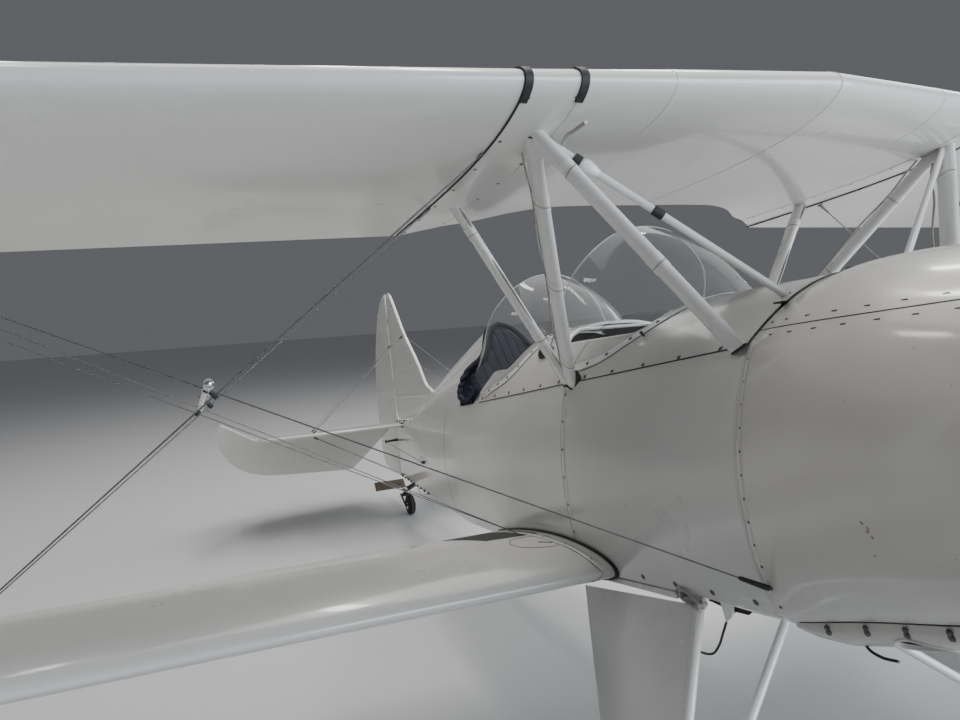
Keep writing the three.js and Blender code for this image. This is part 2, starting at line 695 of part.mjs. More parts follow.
const coamingPath = [
  [-345, 1712, -50], [-352, 1790, -88], [-350, 1890, -92], [-342, 1968, -66],
  [-316, 2006, -14], [-268, 2050, 40], [-212, 2078, 76], [-162, 2100, 106],
  [-130, 2128, 142], [-98, 2176, 206], [-60, 2218, 258], [0, 2236, 284],
];
const coamingPoints = [
  ...coamingPath, ...coamingPath.slice(0, -1).reverse().map(([x, y, z]) => [-x, y, z])].map(point);
function coamingTube() {
  const shape = new THREE.Shape();
  shape.absarc(0, 0, 20, 0, 2 * Math.PI);
  const geometry = new THREE.ExtrudeGeometry(shape, {
    steps: 44, curveSegments: 4, extrudePath: new THREE.CatmullRomCurve3(coamingPoints) });
  return toSolid(geometry);
}
const coaming = coamingTube()
  .subtract(moved(turtledeck, 0, -seam, seam))
  .subtract(moved(rearDeck, 0, 0, seam))
  .subtract(moved(headPad, 0, 0, seam))
  .subtract(moved(hullBlock, 0, 0, seam));
add('rear_coaming', coaming, navy);

// Windshields: a bent sheet from a base line on the deck up to a top line
function windshield(base, top, thickness) {
  const curve = (points) => new THREE.CatmullRomCurve3(points.map(point)).getPoints(16);
  const low = curve(base);
  const high = curve(top);
  const rings = low.map((p, i) => {
    const outward = new THREE.Vector3(p.x, p.y - base[0][1], 0).normalize();
    const inner = outward.multiplyScalar(-thickness);
    return [p, high[i], high[i].clone().add(inner), p.clone().add(inner)];
  });
  return loftSolid(rings);
}
const frontShield = windshield(
  [[-330, 900, -40], [-285, 640, 30], [-150, 480, 120], [0, 452, 130],
    [150, 480, 120], [285, 640, 30], [330, 900, -40]],
  [[-322, 1010, 96], [-262, 880, 330], [-120, 840, 440], [0, 830, 462],
    [120, 840, 440], [262, 880, 330], [322, 1010, 96]], 5);
const rearShield = windshield(
  [[-335, 1640, -84], [-270, 1360, 20], [-120, 1262, 120], [0, 1248, 130],
    [120, 1262, 120], [270, 1360, 20], [335, 1640, -84]],
  [[-338, 1690, 60], [-250, 1640, 300], [-110, 1600, 410], [0, 1592, 432],
    [110, 1600, 410], [250, 1640, 300], [338, 1690, 60]], 5);
const shieldFloor = deckSolid(tubSplitY, deckEndY).add(deckSolid(forwardStartY, tubSplitY));
for (const [name, shield] of [['front_windshield', frontShield], ['rear_windshield', rearShield]]) {
  add(name, shield.subtract(moved(shieldFloor, 0, 0, seam)), clear);
}

// Cabane struts
for (const [sideName, side] of sides) {
  const at = (key) => mirrored(cabane[key], side);
  const strut = (a, b) => fairedStrut(at(a), at(b), cabane.chord, cabane.thickness);
  let frame = joined([
    strut('firewallFoot', 'frontTop'),
    strut('rearFoot', 'frontTop'),
    strut('rearFoot', 'rearTop'),
    bar(at('braceFoot'), at('frontTop'), cabane.braceRadius, cabane.braceRadius, 8),
  ]);
  frame = clearOf(frame, upperSurfaces[sideName], 0, 0, -1);
  const decks = [deckSolid(forwardStartY, tubSplitY), deckSolid(tubSplitY - 1, deckEndY)];
  frame = clearOf(clearOf(clearOf(frame, decks, side, 0, 1), decks, side, 0, 0), decks, 0, 0, 1);
  frame = clearOf(clearOf(frame, [hullBlock], 2 * side, 0, 2), [hullBlock], 2 * side, 0, 0);
  add(`cabane_${sideName}`, frame, paint);
}

const betweenWings = (solid, sideName) => clearOf(
  clearOf(solid, upperSurfaces[sideName], 0, 0, -1), [lowerPanels[sideName]], 0, 0, 1);

// Interplane struts: wide at both ends, leaning forward with the stagger and out at the top
const interplaneRings = [
  // share of the height, and chord
  { share: 0, chord: 520 }, { share: 0.16, chord: 300 }, { share: 0.5, chord: 190 },
  { share: 0.84, chord: 300 }, { share: 1, chord: 520 },
];
const interplane = {
  lowX: 2300, lowY: 1085, lowZ: -590, highX: 2500, highY: 800, highZ: 590, thickness: 34,
};
const interplaneStruts = {};
for (const [sideName, side] of sides) {
  const rings = interplaneRings.map(({ share, chord }) => {
    const x = lerp(interplane.lowX, interplane.highX, share) * side;
    const y = lerp(interplane.lowY, interplane.highY, share);
    const z = lerp(interplane.lowZ, interplane.highZ, share);
    return Array.from({ length: 14 }, (_, i) => {
      const angle = i / 14 * 2 * Math.PI;
      return new THREE.Vector3(x + Math.sin(angle) * interplane.thickness / 2,
        y + Math.cos(angle) * chord / 2, z);
    });
  });
  interplaneStruts[sideName] = loftSolid(rings);
  add(`interplane_strut_${sideName}`, betweenWings(interplaneStruts[sideName], sideName), paint);
}

// Main rigging: landing and flying wires of each side, held together by the spreader rod
const wireRadius = 3.2;
const spreader = { front: [1449, 452, 26], rear: [1489, 1215, -43], radius: 11 };
const flyingClamp = { from: [1488, 1187, -40], to: [1490, 1188, 4], radius: 8 };
const wires = [
  { from: [775, 330, 556], to: [2196, 784, -570] },
  { from: [790, 810, 524], to: [2190, 821, -571] },
  { from: [381, 26, -532], to: [2478, 1011, 541] },
  { from: [394, 1100, -610], to: [2499, 1158, 505] },
  { from: [394, 1291, -610], to: [2470, 1096, 532] },
];
for (const [sideName, side] of sides) {
  const rod = ({ from, to }, radius, count) =>
    bar(mirrored(from, side), mirrored(to, side), radius, radius, count);
  const spine = rod({ from: spreader.front, to: spreader.rear }, spreader.radius, 10);
  const clamp = rod(flyingClamp, flyingClamp.radius, 8);
  const web = clearOf(
    joined([spine, clamp, ...wires.map((wire) => rod(wire, wireRadius, 6))]), [hullBlock], side, 0, 0);
  const strutClear = clearOf(web, [interplaneStruts[sideName]], side, 0, 0);
  add(`rigging_${sideName}`, betweenWings(strutClear, sideName), steel);
}

// Tail surfaces
const finOutline = [
  [3420, -40], [3600, 14], [3745, 180], [4037, 420], [4230, 640], [4340, 760], [4400, 786],
  [4452, 776], [4452, -220], [4330, -232], [3900, -212],
];
const rudderOutline = [
  [finHinge.y, -676], [4790, -668], [4970, -640], [5050, -560], [5085, -330], [5095, -80],
  [5060, 130], [4960, 380], [4810, 610], [4650, 740], [4540, 786], [finHinge.y, 790],
];
const hingeZs = [-560, 60, 560];
let fin = uprightPlate(finOutline, tailThickness, 8)
  .subtract(moved(turtledeck, 0, 0, seam))
  .subtract(moved(aftHull, 0, 0, seam));
const rudderNose = bar([0, finHinge.y, -676], [0, finHinge.y, 790], 15, 15, 16);
let rudder = uprightPlate(rudderOutline, tailThickness - 4, 7).add(rudderNose);
let tailHull = aftHull;
for (const z of hingeZs) {
  rudder = rudder.subtract(box(-60, 60, finHinge.y - 60, finHinge.y + eyeOuter + 8,
    z - notchHalf, z + notchHalf));
  rudder = rudder.add(bar([0, finHinge.y, z - notchHalf - 5], [0, finHinge.y, z + notchHalf + 5],
    pinRadius, pinRadius, pinSides));
  const eye = hingeEye([0, finHinge.y, z], 'z', z < longeronZ(fuselageEndY) ? 4380 : 4430);
  if (z < longeronZ(fuselageEndY)) tailHull = tailHull.add(eye);
  else fin = fin.add(eye);
}
const stabTop = elevatorHinge.z + tailThickness / 2;
const stabBottom = elevatorHinge.z - tailThickness / 2;
const stabSlot = box(-400, 400, 3900, 4440, stabBottom - seam, stabTop + seam);
add('fin', fin.subtract(stabSlot), paint);
add('rudder', rudder, paint);

const stabShape = (side) => {
  const shape = new THREE.Shape();
  shape.moveTo(side * 4, 3960);
  shape.lineTo(side * 120, 3966);
  shape.quadraticCurveTo(side * 800, 4010, side * 1100, 4150);
  shape.lineTo(side * 1100, 4408);
  shape.lineTo(side * 4, 4408);
  return shape;
};
const elevatorHingeXs = [260, 860];
for (const [sideName, side] of sides) {
  let half = flatPlate(stabShape(side), stabBottom, stabTop, 8);
  for (const x of elevatorHingeXs) {
    half = half.add(hingeEye([x * side, elevatorHinge.y, elevatorHinge.z], 'x', 4395));
  }
  add(`stabilizer_${sideName}`, half, paint);
}
add('aft_fuselage', tailHull.subtract(stabSlot), paint);

// Elevator in its own axes: u outboard, v aft of the hinge, then drooped about the hinge
const elevatorOutline = [
  [62, 0], [1112, 0], [1345, -258], [1372, -235], [1378, -110], [1370, 20], [1338, 160],
  [1270, 330], [1160, 470], [1000, 560], [330, 640], [296, 606], [62, 20],
];
const elevatorHalf = (side) => {
  const shape = new THREE.Shape(elevatorOutline.map(([u, v]) => new THREE.Vector2(side * u, v)));
  return flatPlate(shape, -tailThickness / 2 + 3, tailThickness / 2 - 3, 6);
};
let elevator = joined([
  elevatorHalf(1), elevatorHalf(-1),
  bar([-1112, 0, 0], [1112, 0, 0], 12, 12, 12),
]);
for (const [, side] of sides) {
  for (const hingeX of elevatorHingeXs) {
    const x = hingeX * side;
    elevator = elevator.subtract(
      box(x - notchHalf, x + notchHalf, -60, eyeOuter + 8, -60, 60));
    elevator = elevator.add(
      bar([x - notchHalf - 5, 0, 0], [x + notchHalf + 5, 0, 0], pinRadius, pinRadius, pinSides));
  }
}
const elevatorGroup = new THREE.Group();
elevatorGroup.position.set(0, elevatorHinge.y, elevatorHinge.z);
elevatorGroup.rotation.x = -radians(elevatorHinge.droop);
airframe.add(elevatorGroup);
add('elevator', elevator, paint, elevatorGroup);

// Landing gear: a faired triangular leg each side, and a shock strut from the belly
for (const [sideName, side] of sides) {
  const at = (p) => point(mirrored(p, side));
  const plateRing = (front, rear, thickness) => {
    const across = new THREE.Vector3(side * 0.82, 0, 0.57);
    const run = at(rear).sub(at(front));
    return Array.from({ length: 12 }, (_, i) => {
      const angle = i / 12 * 2 * Math.PI;
      return at(front).addScaledVector(run, (1 - Math.cos(angle)) / 2)
        .addScaledVector(across, Math.sin(angle) * thickness / 2);
    });
  };
  const drop = [8, 0, -26];
  const lower = (p) => p.map((value, k) => value + drop[k]);
  let leg = loftSolid([
    plateRing(lower(gear.frontHinge), lower(gear.rearHinge), gear.plateTop),
    plateRing(gear.bottomFront, gear.bottomRear, gear.plateBottom),
  ]);
  const lugs = [gear.frontHinge, gear.rearHinge].map((hinge, k) => {
    const shift = k === 0 ? 40 : -40;
    const [x, y, z] = hinge;
    return bar([side * (x - 8), y + shift, z + 30], [side * (x + 22), y + shift, z - 60], 12, 12, 8);
  });
  const axle = bar(
    [side * 720, gear.axleY, gear.axleZ], [side * (gear.axleX + 84), gear.axleY, gear.axleZ],
    gear.axleRadius, gear.axleRadius, 16);
  leg = clearOf(joined([leg, axle, ...lugs]), [hullBlock], side, 0, -1);
  leg = clearOf(leg, [lowerPanels[sideName]], 0, 0, -1);
  add(`gear_leg_${sideName}`, leg, paint);
  const shock = bar([side * 24, 330, -690], [side * 712, 75, -1222], 18, 18, 12)
    .subtract(moved(leg, -side * seam, 0, seam));
  add(`shock_strut_${sideName}`, clearOf(shock, [hullBlock], 0, 0, -1), paint);
}

// Wheels
const tyreHalf = mainWheel.width / 2;
const tyreProfile = [
  [mainWheel.rimRadius, -52], [118, -70], [164, -tyreHalf], [194, -56], [mainWheel.radius, -18],
  [mainWheel.radius, 18], [194, 56], [164, tyreHalf], [118, 70],
  [mainWheel.rimRadius, 52], [mainWheel.rimRadius, -52],
];
const bore = gear.axleRadius + 1;
const hubProfile = [
  [bore, -62], [40, -62], [40, -46], [70, -46], [mainWheel.rimRadius - seam, -56],
  [mainWheel.rimRadius - seam, 56], [72, 50], [66, 26], [36, 26], [36, 66], [bore, 66], [bore, -62],
];
const flatDown = 180 / wheelSegments;
for (const [sideName, side] of sides) {
  const centre = [side * gear.axleX, gear.axleY, gear.axleZ];
  const wheelPart = (profile) => turned(profile.map(([r, x]) => [r, x * side]))
    .rotate([flatDown + THREE.MathUtils.radToDeg(noseUp), 0, 0]).translate(centre);
  add(`tyre_${sideName}`, wheelPart(tyreProfile), rubber);
  add(`wheel_hub_${sideName}`, wheelPart(hubProfile), steel);
}

// Tail spring, castoring fork and tail wheel; the fork stands upright on the floor
const springLine = [
  [3880, -686], [4020, -686], [4110, -704], [4300, -750], [4440, -786], [4500, -792]];
const springThickness = 14;
const forkTop = -10;
const pivotAt = (height) => [
  0, tailWheel.pivotY - height * Math.sin(noseUp), tailWheel.pivotZ + height * Math.cos(noseUp)];
const spring = joined([
  bar(pivotAt(forkTop + seam), pivotAt(9), 22, 22, 16),
  uprightPlate([
    ...springLine.map(([y, z]) => [y, z - seam]),
    ...springLine.slice().reverse().map(([y, z]) => [y, z - springThickness])], 46, 0),
  box(-245, 0, 4425, 4495, -800, -788),
]).subtract(moved(aftHull, 0, 0, -seam));
add('tail_spring', spring, darkMetal);

const pivot = new THREE.Vector3(0, tailWheel.pivotY, tailWheel.pivotZ)
  .applyEuler(airframe.rotation).add(airframe.position);
const wheelCentre = new THREE.Vector3(0, tailWheel.axleY, tailWheel.axleZ)
  .applyEuler(airframe.rotation).add(airframe.position);
const castor = new THREE.Group();
castor.position.copy(pivot);
whole.add(castor);
const trailY = wheelCentre.y - pivot.y;
const dropZ = wheelCentre.z - pivot.z;
const forkInner = tailWheel.width / 2 + 6;
const fork = joined([
  bar([0, 0, forkTop], [0, 0, -26], 20, 20, 16),
  box(-forkInner - 8, forkInner + 8, -34, 22, -34, -22),
  ...[1, -1].map((side) => joined([
    uprightPlate([[-30, -30], [18, -30], [trailY + 10, dropZ - 14], [trailY - 14, dropZ - 10]], 8, 0)
      .translate([side * (forkInner + 4), 0, 0]),
  ])),
  bar([-forkInner - 10, trailY, dropZ], [forkInner + 10, trailY, dropZ], 8, 8, 12),
]);
add('tail_fork', fork, darkMetal, castor);
const tailTyreProfile = [
  [9, -20], [34, -20], [40, -26], [62, -24], [tailWheel.radius, -8],
  [tailWheel.radius, 8], [62, 24], [40, 26], [34, 20], [9, 20], [9, -20],
];
const tailTyre = turned(tailTyreProfile).rotate([flatDown, 0, 0]);
add('tail_wheel', tailTyre.translate([0, trailY, dropZ]), rubber, castor);

// Propeller and spinner
const bladeRows = [
  { r: 60, chord: 84, thickness: 60, pitch: 48 },
  { r: 190, chord: 104, thickness: 36, pitch: 44 },
  { r: 330, chord: 134, thickness: 24, pitch: 35 },
  { r: 520, chord: 150, thickness: 18, pitch: 27 },
  { r: 720, chord: 138, thickness: 13, pitch: 21 },
  { r: 880, chord: 106, thickness: 9, pitch: 17 },
  { r: 935, chord: 74, thickness: 7, pitch: 16 },
  { r: propellerRadius, chord: 34, thickness: 5, pitch: 16 },
];
function blade(direction) {
  return loftSolid(bladeRows.map(({ r, chord, thickness, pitch }) =>
    Array.from({ length: 10 }, (_, i) => {
      const angle = i / 10 * 2 * Math.PI;
      const along = Math.cos(angle) * chord / 2;
      const across = Math.sin(angle) * thickness / 2;
      const turn = radians(pitch);
      return new THREE.Vector3(direction * r,
        propellerY + along * Math.sin(turn) + across * Math.cos(turn),
        direction * (along * Math.cos(turn) - across * Math.sin(turn)));
    })));
}
const hub = bar([0, propellerY - 46, 0], [0, spinnerBackY - 3, 0], 78, 78, 16);
const spinnerSegments = 20;
const backPlate = bar(
  [0, spinnerBackY - 6, 0], [0, spinnerBackY, 0], spinnerRadius, spinnerRadius, spinnerSegments);
const spinnerLength = 262;
const spinnerProfile = (radius, frontY) => [
  [0, frontY], [radius * 0.22, frontY + 12], [radius * 0.48, frontY + 52],
  [radius * 0.72, frontY + 112], [radius * 0.9, frontY + 180], [radius, spinnerBackY - 6 - seam],
  [0, spinnerBackY - 6 - seam],
];
function spinnerBody(radius, frontY) {
  const geometry = new THREE.LatheGeometry(
    spinnerProfile(radius, frontY).map(([r, y]) => new THREE.Vector2(r, y)), spinnerSegments);
  return toSolid(geometry);
}
const spinnerFront = spinnerBackY - spinnerLength;
const innerSpinner = moved(spinnerBody(spinnerRadius - 5, spinnerFront + 8), 0, 3, 0);
const bladeSlots = [1, -1].map((direction) => {
  const shape = bladeRows.slice(0, 3).map(({ r, chord, thickness, pitch }) =>
    Array.from({ length: 10 }, (_, i) => {
      const angle = i / 10 * 2 * Math.PI;
      const along = Math.cos(angle) * (chord / 2 + 5);
      const across = Math.sin(angle) * (thickness / 2 + 5);
      const turn = radians(pitch);
      return new THREE.Vector3(direction * r,
        propellerY + along * Math.sin(turn) + across * Math.cos(turn),
        direction * (along * Math.cos(turn) - across * Math.sin(turn)));
    }));
  return loftSolid(shape);
});
const spinner = spinnerBody(spinnerRadius, spinnerFront).subtract(innerSpinner)
  .subtract(joined(bladeSlots));
const propellerGroup = new THREE.Group();
propellerGroup.position.set(0, 0, thrustZ);
propellerGroup.rotation.y = radians(propellerTilt);
airframe.add(propellerGroup);
const propeller = joined([hub, backPlate, blade(1), blade(-1)]);
add('propeller', propeller, darkMetal, propellerGroup);
add('spinner', spinner, steel, propellerGroup);

// The whole stands centred on the origin
whole.updateMatrixWorld(true);
const extent = new THREE.Box3().setFromObject(whole, true);
const middle = extent.getCenter(new THREE.Vector3());
whole.children.forEach((child) => child.position.sub(new THREE.Vector3(middle.x, middle.y, 0)));

export default whole;
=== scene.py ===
"""Looks of a parked two-seat biplane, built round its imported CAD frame."""

import json
import math

import bmesh
import bpy
import numpy as np
from mathutils import Matrix, Vector


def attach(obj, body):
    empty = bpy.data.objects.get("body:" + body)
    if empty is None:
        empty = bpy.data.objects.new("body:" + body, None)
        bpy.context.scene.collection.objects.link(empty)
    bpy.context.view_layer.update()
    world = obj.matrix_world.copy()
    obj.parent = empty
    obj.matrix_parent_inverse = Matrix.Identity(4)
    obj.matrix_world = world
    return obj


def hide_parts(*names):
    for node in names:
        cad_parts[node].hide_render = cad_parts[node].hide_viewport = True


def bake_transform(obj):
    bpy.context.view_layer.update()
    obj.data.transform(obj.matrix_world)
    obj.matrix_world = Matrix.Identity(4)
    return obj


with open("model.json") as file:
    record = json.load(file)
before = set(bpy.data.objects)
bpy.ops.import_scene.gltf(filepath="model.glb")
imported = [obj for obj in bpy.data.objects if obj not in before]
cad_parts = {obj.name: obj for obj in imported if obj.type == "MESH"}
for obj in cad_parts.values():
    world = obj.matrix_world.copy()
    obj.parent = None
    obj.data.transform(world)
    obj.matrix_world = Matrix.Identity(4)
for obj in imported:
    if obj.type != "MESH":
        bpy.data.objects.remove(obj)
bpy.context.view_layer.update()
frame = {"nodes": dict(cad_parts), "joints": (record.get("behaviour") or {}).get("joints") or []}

# Airframe axes in metres: x to port, y aft from the firewall, z up from the upper longeron
JOINTS = {joint["name"]: joint for joint in frame["joints"]}
PROPELLER_CENTRE = Vector((0, -1.095, -0.235))
_, level, drop = JOINTS["propeller_spin"]["axis"]
NOSE_UP = math.atan2(-drop, level)
TILT = Matrix.Rotation(-NOSE_UP, 4, "X")
AIRFRAME = Matrix.Translation(
    Vector(JOINTS["propeller_spin"]["pos_m"]) - TILT @ PROPELLER_CENTRE) @ TILT
TO_WORLD = np.array(AIRFRAME)
SIDES = (("left", 1), ("right", -1))

# Camera, fitted to the photograph
CAMERA_PLACE = AIRFRAME @ Vector((-1.5047, -1.3133, -0.0263))
CAMERA_TURN = (86.04, 3.659, -21.661)
CAMERA_LENS = 27.61
SENSOR_WIDTH = 36.0


# Camera and area lights
def make_camera():
    data = bpy.data.cameras.new("camera")
    data.lens = CAMERA_LENS
    data.sensor_width = SENSOR_WIDTH
    data.clip_start = 0.05
    data.clip_end = 200
    camera = bpy.data.objects.new("camera", data)
    camera.location = CAMERA_PLACE
    camera.rotation_euler = [math.radians(a) for a in CAMERA_TURN]
    bpy.context.scene.collection.objects.link(camera)
    bpy.context.scene.camera = camera


def area_light(name, place, target, size, power, tint=(1, 1, 1)):
    data = bpy.data.lights.new(name, "AREA")
    data.shape = "RECTANGLE"
    data.size, data.size_y = size
    data.energy = power
    data.color = tint
    light = bpy.data.objects.new(name, data)
    light.location = place
    aim = Vector(target) - Vector(place)
    light.rotation_euler = aim.to_track_quat("-Z", "Y").to_euler()
    bpy.context.scene.collection.objects.link(light)


# Materials
def node(tree, kind, **inputs):
    made = tree.nodes.new(kind)
    for key, value in inputs.items():
        made.inputs[key.replace("_", " ")].default_value = value
    return made


def texture(tree, kind, **inputs):
    """Texture node laid out by the object's own coordinates."""
    made = node(tree, kind, **inputs)
    place = tree.nodes.new("ShaderNodeTexCoord")
    tree.links.new(place.outputs["Object"], made.inputs["Vector"])
    return made


def shading(material):
    return material.node_tree, material.node_tree.nodes["Principled BSDF"]


def plain_material(name, color, roughness=0.5, metallic=0.0, coat=0.0, specular=0.5):
    material = bpy.data.materials.new(name)
    material.use_nodes = True
    inputs = shading(material)[1].inputs
    for key, value in (("Base Color", (*color, 1)), ("Roughness", roughness), ("Metallic", metallic),
                       ("Coat Weight", coat), ("Coat Roughness", 0.08), ("Specular IOR Level", specular)):
        inputs[key].default_value = value
    return material


def vary(material, other, scale, low, high, roughness):
    """Mixes a second colour in by noise, and spreads the roughness over a range."""
    tree, shader = shading(material)
    noise = texture(tree, "ShaderNodeTexNoise", Scale=scale, Detail=4.0, Roughness=0.6)
    ramp = tree.nodes.new("ShaderNodeValToRGB")
    base = tuple(shader.inputs["Base Color"].default_value)
    for stop, position, color in zip(ramp.color_ramp.elements, (low, high), (base, (*other, 1))):
        stop.position = position
        stop.color = color
    tree.links.new(noise.outputs["Fac"], ramp.inputs["Fac"])
    tree.links.new(ramp.outputs["Color"], shader.inputs["Base Color"])
    spread = node(tree, "ShaderNodeMapRange", To_Min=roughness[0], To_Max=roughness[1])
    tree.links.new(noise.outputs["Fac"], spread.inputs["Value"])
    tree.links.new(spread.outputs["Result"], shader.inputs["Roughness"])
    return material


def bump(material, scale, strength, distance):
    """Fine noise relief, on top of what relief the material has."""
    tree, shader = shading(material)
    noise = texture(tree, "ShaderNodeTexNoise", Scale=scale)
    made = node(tree, "ShaderNodeBump", Strength=strength, Distance=distance)
    tree.links.new(noise.outputs["Fac"], made.inputs["Height"])
    normal = shader.inputs["Normal"]
    if normal.is_linked:
        tree.links.new(normal.links[0].from_socket, made.inputs["Normal"])
    tree.links.new(made.outputs["Normal"], normal)
    return material


def specks(material, color, scale, size):
    """Scatters small dirt specks, each where a cell's centre is near."""
    tree, shader = shading(material)
    cells = texture(tree, "ShaderNodeTexVoronoi", Scale=scale)
    near = tree.nodes.new("ShaderNodeMath")
    near.operation = "LESS_THAN"
    near.inputs[1].default_value = size
    tree.links.new(cells.outputs["Distance"], near.inputs[0])
    mix = tree.nodes.new("ShaderNodeMix")
    mix.data_type = "RGBA"
    base = shader.inputs["Base Color"]
    tree.links.new(base.links[0].from_socket, mix.inputs["A"])
    mix.inputs["B"].default_value = (*color, 1)
    tree.links.new(near.outputs["Value"], mix.inputs["Factor"])
    tree.links.new(mix.outputs["Result"], base)


def painted(name, color, shade, roughness):
    material = vary(plain_material(name, color, coat=0.6), shade, 2.3, 0.35, 0.75, roughness)
    specks(material, (0.34, 0.32, 0.28), 26, 0.035)
    return bump(bump(material, 2.4, 0.25, 0.004), 900, 0.05, 0.0003)


def finish(name, color, mottle, relief=None, base_roughness=0.5, **looks):
    """Material mottled with a second colour, with a fine relief where one is given."""
    material = vary(plain_material(name, color, base_roughness, **looks), *mottle)
    return bump(material, *relief) if relief else material


COVER = painted("cover_paint", (0.71, 0.705, 0.675), (0.68, 0.67, 0.64), (0.24, 0.34))
SHELL = painted("shell_paint", (0.67, 0.65, 0.61), (0.63, 0.61, 0.57), (0.16, 0.26))
STRUT = painted("strut_paint", (0.78, 0.78, 0.77), (0.70, 0.69, 0.67), (0.18, 0.34))
WHITE = finish("white_strip", (0.88, 0.88, 0.88),
               ((0.78, 0.775, 0.76), 35, 0.4, 0.75, (0.25, 0.45)), coat=0.4)
WIRE = finish("wire_steel", (0.20, 0.20, 0.205),
              ((0.12, 0.12, 0.12), 60, 0.4, 0.75, (0.3, 0.5)), metallic=0.85)
INNER = finish("cockpit_white", (0.80, 0.79, 0.76), ((0.68, 0.66, 0.63), 9, 0.35, 0.75, (0.45, 0.7)))
TAPE = finish("white_tape", (0.82, 0.81, 0.79), ((0.7, 0.69, 0.66), 60, 0.4, 0.7, (0.35, 0.55)))
RUBBER = finish("black_rubber", (0.018, 0.018, 0.019),
                ((0.04, 0.04, 0.042), 30, 0.3, 0.8, (0.5, 0.75)), (700, 0.15, 0.0004))
TREAD = finish("tyre_tread", (0.022, 0.022, 0.023),
               ((0.06, 0.058, 0.055), 22, 0.45, 0.8, (0.6, 0.85)), (500, 0.2, 0.0004))
STEEL = finish("bright_steel", (0.62, 0.62, 0.61),
               ((0.45, 0.44, 0.42), 40, 0.4, 0.8, (0.2, 0.4)), (300, 0.05, 0.0003), metallic=1.0)
ALLOY = finish("polished_alloy", (0.78, 0.79, 0.8),
               ((0.66, 0.66, 0.67), 14, 0.4, 0.8, (0.12, 0.26)), (200, 0.04, 0.0003), metallic=1.0)
FASTENER = finish("fastener_steel", (0.16, 0.155, 0.15),
                  ((0.09, 0.085, 0.08), 120, 0.4, 0.7, (0.3, 0.55)), metallic=0.8)
DARK = finish("dark_metal", (0.035, 0.035, 0.037),
              ((0.07, 0.065, 0.06), 35, 0.4, 0.8, (0.35, 0.6)), (260, 0.1, 0.0004), metallic=0.6)
GREY = finish("cockpit_grey", (0.10, 0.105, 0.11),
              ((0.14, 0.14, 0.145), 18, 0.4, 0.75, (0.5, 0.7)), (420, 0.25, 0.0004))
CABLE = bump(plain_material("black_cable", (0.02, 0.02, 0.022)), 900, 0.1, 0.0002)
HOSE = finish("beige_hose", (0.30, 0.285, 0.255),
              ((0.42, 0.40, 0.36), 25, 0.4, 0.7, (0.4, 0.6)), (600, 0.1, 0.0002))
BROWN = finish("brown_plate", (0.12, 0.085, 0.06), ((0.2, 0.15, 0.1), 30, 0.35, 0.75, (0.4, 0.65)))
WALKWAY = finish("walkway_grit", (0.025, 0.025, 0.026),
                 ((0.05, 0.05, 0.05), 80, 0.4, 0.7, (0.7, 0.9)), (1400, 0.6, 0.0008))
# Near black colour for seam, joint and edge lines: painted shade standing in for the shadow inside the gaps
GAP_SHADE = finish("painted_gap_shade", (0.02, 0.02, 0.02), ((0.04, 0.038, 0.035), 40, 0.4, 0.7, (0.7, 0.9)))
EDGE = finish("clear_edge", (0.72, 0.76, 0.76),
              ((0.6, 0.64, 0.64), 50, 0.4, 0.7, (0.2, 0.35)), base_roughness=0.25)
DIAL = finish("dial_black", (0.012, 0.012, 0.013),
              ((0.03, 0.03, 0.032), 60, 0.4, 0.8, (0.2, 0.4)), base_roughness=0.3)
STAIN = finish("rust_stain", (0.20, 0.10, 0.075), ((0.3, 0.2, 0.16), 90, 0.4, 0.7, (0.6, 0.8)))
BRACKET = finish("worn_bracket", (0.34, 0.33, 0.31),
                 ((0.46, 0.45, 0.42), 55, 0.4, 0.75, (0.4, 0.6)), (300, 0.15, 0.0004), metallic=0.4)
BLADE = finish("blade_finish", (0.045, 0.046, 0.05), ((0.07, 0.07, 0.072), 16, 0.4, 0.75, (0.25, 0.4)),
               (160, 0.04, 0.0003), metallic=0.3, coat=0.3)


def glass():
    material = plain_material("clear_sheet", (0.955, 0.965, 0.965), 0.03)
    inputs = shading(material)[1].inputs
    inputs["Transmission Weight"].default_value = 0.97
    inputs["IOR"].default_value = 1.13
    return bump(material, 5, 0.06, 0.002)


def woven(name, color, other):
    material = plain_material(name, color, 0.85, specular=0.2)
    tree, shader = shading(material)
    shader.inputs["Sheen Weight"].default_value = 0.05
    shader.inputs["Sheen Roughness"].default_value = 0.4
    vary(material, other, 7, 0.35, 0.75, (0.7, 0.95))
    mix = tree.nodes.new("ShaderNodeMath")
    mix.operation = "MULTIPLY"
    for k, direction in enumerate(("X", "Z")):
        wave = texture(tree, "ShaderNodeTexWave", Scale=420.0, Distortion=0.6)
        wave.bands_direction = direction
        tree.links.new(wave.outputs["Fac"], mix.inputs[k])
    made = node(tree, "ShaderNodeBump", Strength=0.35, Distance=0.0006)
    tree.links.new(mix.outputs["Value"], made.inputs["Height"])
    tree.links.new(made.outputs["Normal"], shader.inputs["Normal"])
    return bump(material, 18, 0.35, 0.003)


CLEAR = glass()
NAVY = woven("navy_cloth", (0.006, 0.008, 0.020), (0.010, 0.013, 0.030))


# Mesh helpers, all in airframe metres
def to_world(points):
    return np.asarray(points, float) @ TO_WORLD[:3, :3].T + TO_WORLD[:3, 3]


def unit(vectors):
    vectors = np.asarray(vectors, float)
    return vectors / np.linalg.norm(vectors, axis=-1, keepdims=True)


def lerp(a, b, t):
    return np.asarray(a, float) + np.subtract(b, a) * t


def around(count):
    """Angles of a full turn in equal steps."""
    return np.linspace(0, 2 * np.pi, count, endpoint=False)


def mirrored(points, side):
    return np.asarray(points, float) * (side, 1, 1)


def new_object(name, mesh):
    made = bpy.data.objects.new(name, mesh)
    bpy.context.scene.collection.objects.link(made)
    return made


